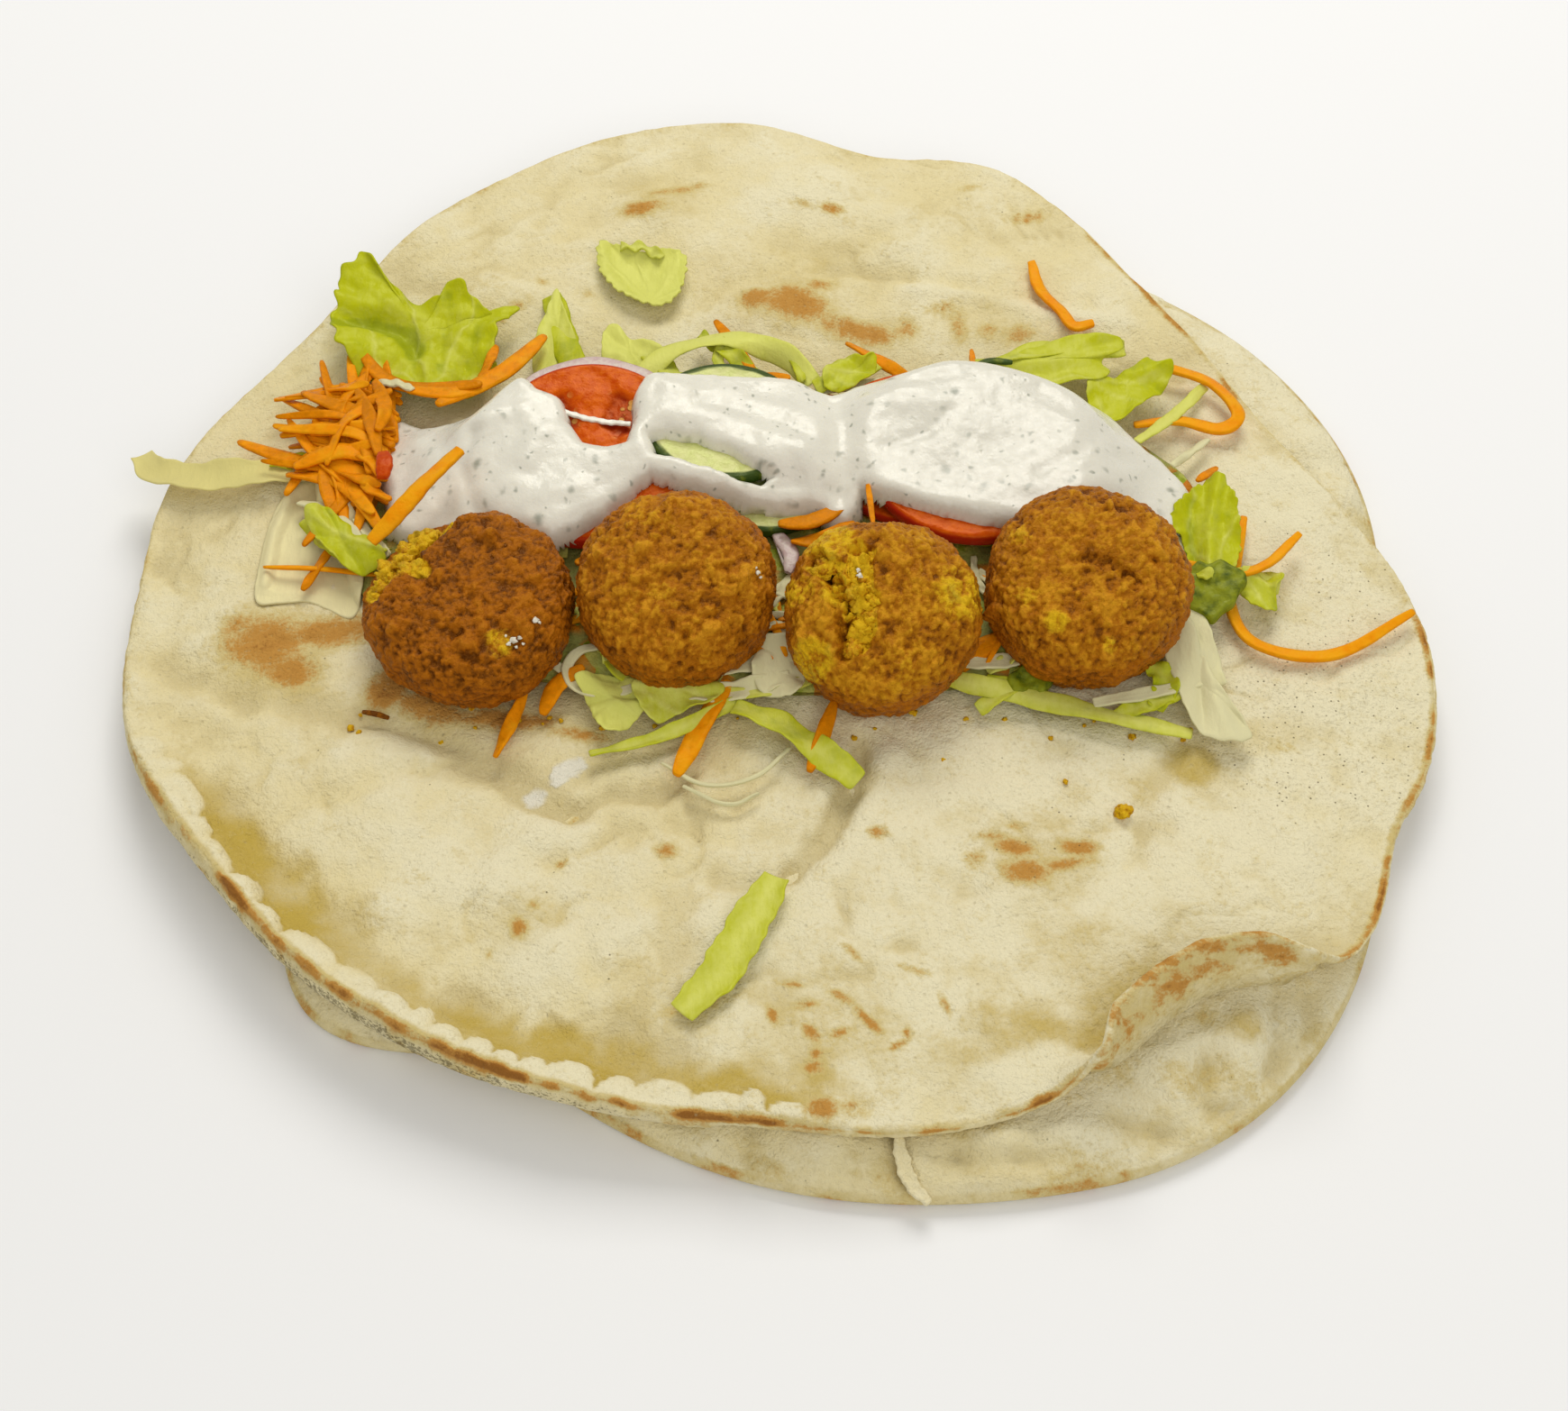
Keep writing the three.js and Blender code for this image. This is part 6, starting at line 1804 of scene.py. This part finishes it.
class WRAP_OT_heap(bpy.types.Operator):
    """Model the heap's core and all its shreds, one piece for each kind"""
    bl_idname = "wrap.heap"
    bl_label = "Salad heap"

    def execute(self, context):
        look = settings("salad")
        orange = shared("raw_carrot")
        for name, heap, material, slot, node in (
                ("salad_core", HEAP, heap_finish(), "pale_lettuce", "salad_heap"),
                ("carrot_core", BUNDLE, orange, "carrot", "carrot_bundle_left")):
            core = sheet(*GRIDS["core"], lambda u, v: core_shape(u, v, heap))
            close(core)
            finish(core, name, material, slot, node)
        kinds = (
            ("carrot", [(path, width, 0.0) for path, width in CARROTS], [], orange),
            ("lettuce", LETTUCE, LETTUCE_PIECES,
             leaf_finish("lettuce_shred", look.green, look.pale, look.dark)),
            ("cabbage", CABBAGE, CABBAGE_PIECES,
             leaf_finish("white_shred", look.pale, look.cabbage, look.pale)),
        )
        for seed, (kind, placed, torn, material) in enumerate(kinds):
            rng = random.Random(seed + 90)
            cut = SHREDS[kind]
            seeded = list(scattered(kind, look.scattered, seed + 60))
            if kind == "carrot":
                seeded.extend(bundled())
            strips = [shred(kind, number, number < len(placed), rng, *spec)
                      for number, spec in enumerate([*placed, *seeded])]
            strips += [torn_piece(*spec, number + 20) for number, spec in enumerate(torn)]
            whole = joined(strips)
            thicken(whole, cut["thick"], crisp=cut["crisp"])
            finish(whole, kind + "_shreds", material, cut["slot"], cut["node"])
        return {"FINISHED"}


class WRAP_OT_loose(bpy.types.Operator):
    """Model the shreds that lie on their own"""
    bl_idname = "wrap.loose"
    bl_label = "Loose shreds"

    def execute(self, context):
        look = settings("salad")
        orange = shared("raw_carrot")
        for number, (node, (path, width, thick)) in enumerate(LOOSE_CARROTS.items()):
            draped = node != "carrot_shred_on_sauce"
            piece = ribbon(path, width, columns=60, lanes=2, taper=0.35, ragged=0.03, draped=draped,
                           lift=0.4 + thick / 2, full=0.3, seed=number + 200, shade=1.0, twist=0.35)
            thicken(piece, 0.6 * thick, crisp=0.85)
            finish(piece, "raw_" + node, orange, "carrot", node)
        green = leaf_finish("green_strip", look.green, look.pale, look.green)
        white = leaf_finish("pale_strip", look.pale, look.strip_rib, look.strip_rib)
        for number, (node, (path, width, ruffle, pale)) in enumerate(STRIPS.items()):
            piece = ribbon(path, width, columns=60, lanes=12, taper=0.5, ruffle=ruffle, waves=2.5,
                           cup=0.22, ragged=0.05, lift=0.9, seed=number + 230, pale=pale)
            thicken(piece, 0.6)
            material, slot = (green, "lettuce") if pale < 0.5 else (white, "pale_lettuce")
            finish(piece, "fresh_" + node, material, slot, node)
        return {"FINISHED"}


def leaf(spec, columns, rings, seed):
    """A leaf from its middle out to its ruffled rim."""
    rim = closed_through(spec["outline"], columns)
    middle = rim[:-1].mean(axis=0)

    def place(u, v):
        turn = 2 * np.pi * u
        edge = rim[np.round(u * columns).astype(int)]
        torn = (np.sin(19 * turn + seed) + np.sin(31 * turn)) * v ** 4
        jag = 1 + 0.02 * smooth(2 * spec["ruffle"]) * torn
        x = lerp(middle[0], edge[..., 0], v * jag)
        y = lerp(middle[1], edge[..., 1], v * jag)
        flat = on_plane(x, y)
        wave = (np.sin(spec["waves"] * turn + seed)
                + 0.35 * np.sin((3 * spec["waves"] + 1) * turn + 2 * seed))
        crumple = cloud(flat, 8, seed)
        z = (spec["level"] + spec["dish"] * v ** 2 + spec["ruffle"] * (v ** 3 * wave + 0.6 * crumple)
             + spec["slope"][0] * (x - middle[0]) + spec["slope"][1] * (y - middle[1]))
        folded = relief(x, y, [], spec["folds"])
        z = np.maximum(z + folded, ground(x, y) + 0.4 + 0.4 * smooth(folded))
        dx, dy = x - spec["spine"][0], y - spec["spine"][1]
        fan = np.arctan2(dy, dx) * 5.5 + 1.2 * cloud(flat, 16, seed + 1)
        rib = np.exp(-(np.sin(fan) * np.hypot(dx, dy) / 3.2) ** 2)
        # The shade mark darkens the grooves of the folds: a painted shade.
        return xyz(x, y, z), {
            "pale": spec["pale"] + 0.2 * (1 - v), "rib": rib, "shade": smooth(-folded / 2.2)}

    piece = sheet(columns, rings, place)
    merge(piece)
    return piece


class WRAP_OT_leaves(bpy.types.Operator):
    """Model the lettuce leaves"""
    bl_idname = "wrap.leaves"
    bl_label = "Leaves"

    def execute(self, context):
        look = settings("salad")
        green = leaf_finish("lettuce_leaf", look.green, look.pale, look.dark)
        inner = leaf_finish("inner_leaf", look.inner, look.inner_rib, look.inner_dark, 0.06)
        for number, (node, spec) in enumerate(LEAVES.items()):
            piece = leaf(spec, *GRIDS["leaf"], number + 2)
            thicken(piece, 0.5, 0)
            pale = node.startswith("pale")
            material, slot = (inner, "pale_lettuce") if pale else (green, "lettuce")
            finish(piece, "fresh_" + node, material, slot, node)
        return {"FINISHED"}


# ==== Sauce and crumbs ====

def under_sauce(x, y, drape):
    """What the sauce lies on: the heap and its slices, left behind over `drape` millimetres."""
    level = heap_top(HEAP, x, y)
    for middle, radius, thick, slope in list(SLICES.values())[:SAUCED_SLICES]:
        dx, dy = x - middle[0], y - middle[1]
        within = smooth((radius + SAUCE_DROP["past"] + drape - np.hypot(dx, dy)) / drape)
        top = middle[2] + thick / 2 + slope[0] * dx + slope[1] * dy
        level = lerp(level, np.maximum(level, top), within)
    return level


def blurred(field, times):
    """A field evened out with its neighbours."""
    for _ in range(times):
        padded = np.pad(field, 1, mode="edge")
        field = (4 * field + padded[:-2, 1:-1] + padded[2:, 1:-1] + padded[1:-1, :-2]
                 + padded[1:-1, 2:]) / 8
    return field


def sauce_shape(u, v):
    """A drape of sauce over the heap. Outside its outline it dives under what it lies on."""
    look = settings("sauce")
    (left, front), (wide, deep) = SAUCE_GRID["corner"], SAUCE_GRID["span"]
    x, y = left + wide * u, front + deep * v
    flat = on_plane(x, y)
    wavy = 0.45 * cloud(flat, 4, 51)
    edge = np.minimum(inside(x, y, SAUCE_OUTLINE), -inside(x, y, SAUCE_OPENING)) + wavy
    bare, filled = under_sauce(x, y, SAUCE_DROP["drape"]), under_sauce(x, y, SAUCE_DROP["fill"])
    level = lerp(bare, filled, smooth(edge / SAUCE_DROP["fill_in"]))
    level = blurred(np.maximum(level, blurred(level, 300)), 50)
    body = look.thick / MM * arch(edge / (look.lip / MM))
    swell = relief(x, y, [], SAUCE_MARKS) + 0.75 * cloud(flat, 17, 52, 2) + 0.16 * cloud(flat, 4.2, 53, 2)
    body = body + swell * smooth(edge / 4)
    dive = np.where(edge < 0, -2.6 * np.clip(-edge, 0, 1.2) ** 0.8, 0)
    z = level + SAUCE_DROP["clear"] + blurred(body + dive, 1)
    # The thin mark holds the painted shade over the right lobe.
    return xyz(x, y, z), {"edge": edge, "thin": spots(x, y, SHADED_SAUCE)}


class WRAP_OT_sauce(bpy.types.Operator):
    """Model the yogurt sauce"""
    bl_idname = "wrap.sauce"
    bl_label = "Yogurt sauce"

    def execute(self, context):
        piece = sheet(SAUCE_GRID["columns"], SAUCE_GRID["rows"], sauce_shape)
        edge = np.empty(len(piece.data.vertices), np.float32)
        piece.data.attributes["edge"].data.foreach_get("value", edge)
        cut_away(piece, edge < -0.9)
        thicken(piece, 1.0, 0)
        strand = ribbon(DRIZZLE, 1.5, columns=40, lanes=4, taper=0.7, ragged=0.18, draped=False, seed=77)
        thicken(strand, 0.8)
        finish(joined([piece, strand]), "spread_sauce", sauce_finish(), "sauce", "yogurt_sauce")
        return {"FINISHED"}


def lump(at, radius, flat, seed, cuts=5, rough=0.5, **marks):
    """A small uneven lump."""
    piece, way = ball(cuts)
    shape = way * radius * (1 + rough * cloud(way, 0.9, seed))[:, None]
    shape[:, 2] *= flat
    put(piece, shape + np.array(at))
    mark(piece, **{"high": 0.5 + rough * cloud(way, 0.7, seed), "gold": 0.6, "tint": 0.6, **marks})
    return piece


def fallen_crumbs():
    """Crumbs in front of the falafels, with a large one and a brown shred among them."""
    rng = random.Random(8)
    x, y = LARGE_CRUMB["at"]
    parts = [lump((x, y, ground_at(x, y) + LARGE_CRUMB["rise"]), LARGE_CRUMB["radius"], 0.75, 3, 9)]
    for number in range(CRUMBS):
        x, y = rng.uniform(-98, 96), rng.choice((rng.gauss(-54, 5), rng.gauss(-50, 3)))
        parts.append(lump((x, y, ground_at(x, y) + 0.3), rng.uniform(0.3, 0.9), 0.7, number, 3))
    parts.append(ribbon(BROWN_SHRED, 1.5, columns=12, lanes=2, seed=4, high=0.1))
    thicken(parts[-1], 0.8)
    return joined(parts)


class WRAP_OT_crumbs(bpy.types.Operator):
    """Model the crumbs, flecks and small bits that lie about"""
    bl_idname = "wrap.crumbs"
    bl_label = "Crumbs"

    def execute(self, context):
        finish(fallen_crumbs(), "fallen_crumbs", shared("fried_crust"), "falafel_crust")
        flecks = []
        for number, x, y, radius in FLECKS:
            spec = FALAFELS[number - 1]
            place = on_patty(spec, x, y, face_level(spec, x, y) + 0.5)
            flecks.append(lump(place, radius, 0.6, number + x, 3, 0.7))
        finish(joined(flecks), "white_flecks", fleck_finish(), "falafel_crust")
        for name, (path, width, thick, material, slot, shape) in SINGLE_BITS.items():
            bit = ribbon(path, width, draped=False, **shape)
            thicken(bit, thick)
            finish(bit, name, shared(material), slot)
        return {"FINISHED"}


# ==== Studio ====

class WRAP_OT_stage(bpy.types.Operator):
    """Set up the floor, the light and the camera"""
    bl_idname = "wrap.stage"
    bl_label = "Studio"

    def execute(self, context):
        look = settings("stage")
        scene = context.scene
        floor = begin(bpy.ops.mesh.primitive_plane_add, size=6, location=(0, 0, -0.0002))
        floor.name = "studio_floor"
        pale = Finish("studio_floor", Roughness=0.9, Specular_IOR_Level=0.1)
        pale.wear((*look.floor, 1))
        floor.data.materials.append(pale.material)
        for name, place, power, width in (("key_light", (0.05, 0.8, 1.05), look.key, 0.7),
                                          ("front_light", (0.3, -0.9, 1.0), look.front, 1.0)):
            light = bpy.data.lights.new(name, "AREA")
            light.energy, light.size, light.color = power, width, look.light
            lamp = bpy.data.objects.new(name, light)
            scene.collection.objects.link(lamp)
            lamp.location = place
            lamp.rotation_euler = Vector(place).to_track_quat("Z", "Y").to_euler()
        world = scene.world or bpy.data.worlds.new("studio")
        scene.world = world
        world.use_nodes = True
        sky = world.node_tree.nodes["Background"]
        sky.inputs["Color"].default_value = (*look.light, 1)
        sky.inputs["Strength"].default_value = look.fill
        scene.view_settings.view_transform = "Standard"
        camera = bpy.data.objects.new("camera", bpy.data.cameras.new("camera"))
        camera.data.lens, camera.data.sensor_width = look.lens, 36
        camera.data.clip_start = 0.01
        camera.location = look.camera
        camera.rotation_euler = (math.pi / 2 - look.pitch, 0, 0)
        scene.collection.objects.link(camera)
        scene.camera = camera
        return {"FINISHED"}


class WRAP_PT_panel(bpy.types.Panel):
    """The steps that build the wrap"""
    bl_idname = "WRAP_PT_panel"
    bl_label = "Open falafel wrap"
    bl_space_type = "VIEW_3D"
    bl_region_type = "UI"
    bl_category = "Wrap"

    def draw(self, context):
        for operator in STEPS:
            self.layout.operator(operator.bl_idname)
        for name in GROUPS:
            group = settings(name)
            box = self.layout.box()
            box.label(text=name.title())
            for key in group.__annotations__:
                box.prop(group, key)


STEPS = (WRAP_OT_stage, WRAP_OT_breads, WRAP_OT_falafels, WRAP_OT_slices, WRAP_OT_onions,
         WRAP_OT_heap, WRAP_OT_loose, WRAP_OT_leaves, WRAP_OT_sauce, WRAP_OT_crumbs)


def register():
    for item in (*GROUPS.values(), *STEPS, WRAP_PT_panel):
        bpy.utils.register_class(item)
    for name, group in GROUPS.items():
        setattr(bpy.types.Scene, "wrap_" + name, PointerProperty(type=group))


def unregister():
    for name in GROUPS:
        delattr(bpy.types.Scene, "wrap_" + name)
    for item in reversed((*GROUPS.values(), *STEPS, WRAP_PT_panel)):
        bpy.utils.unregister_class(item)


def main():
    register()
    for step in STEPS:
        area, name = step.bl_idname.split(".")
        getattr(getattr(bpy.ops, area), name)()


if __name__ == "__main__":
    main()
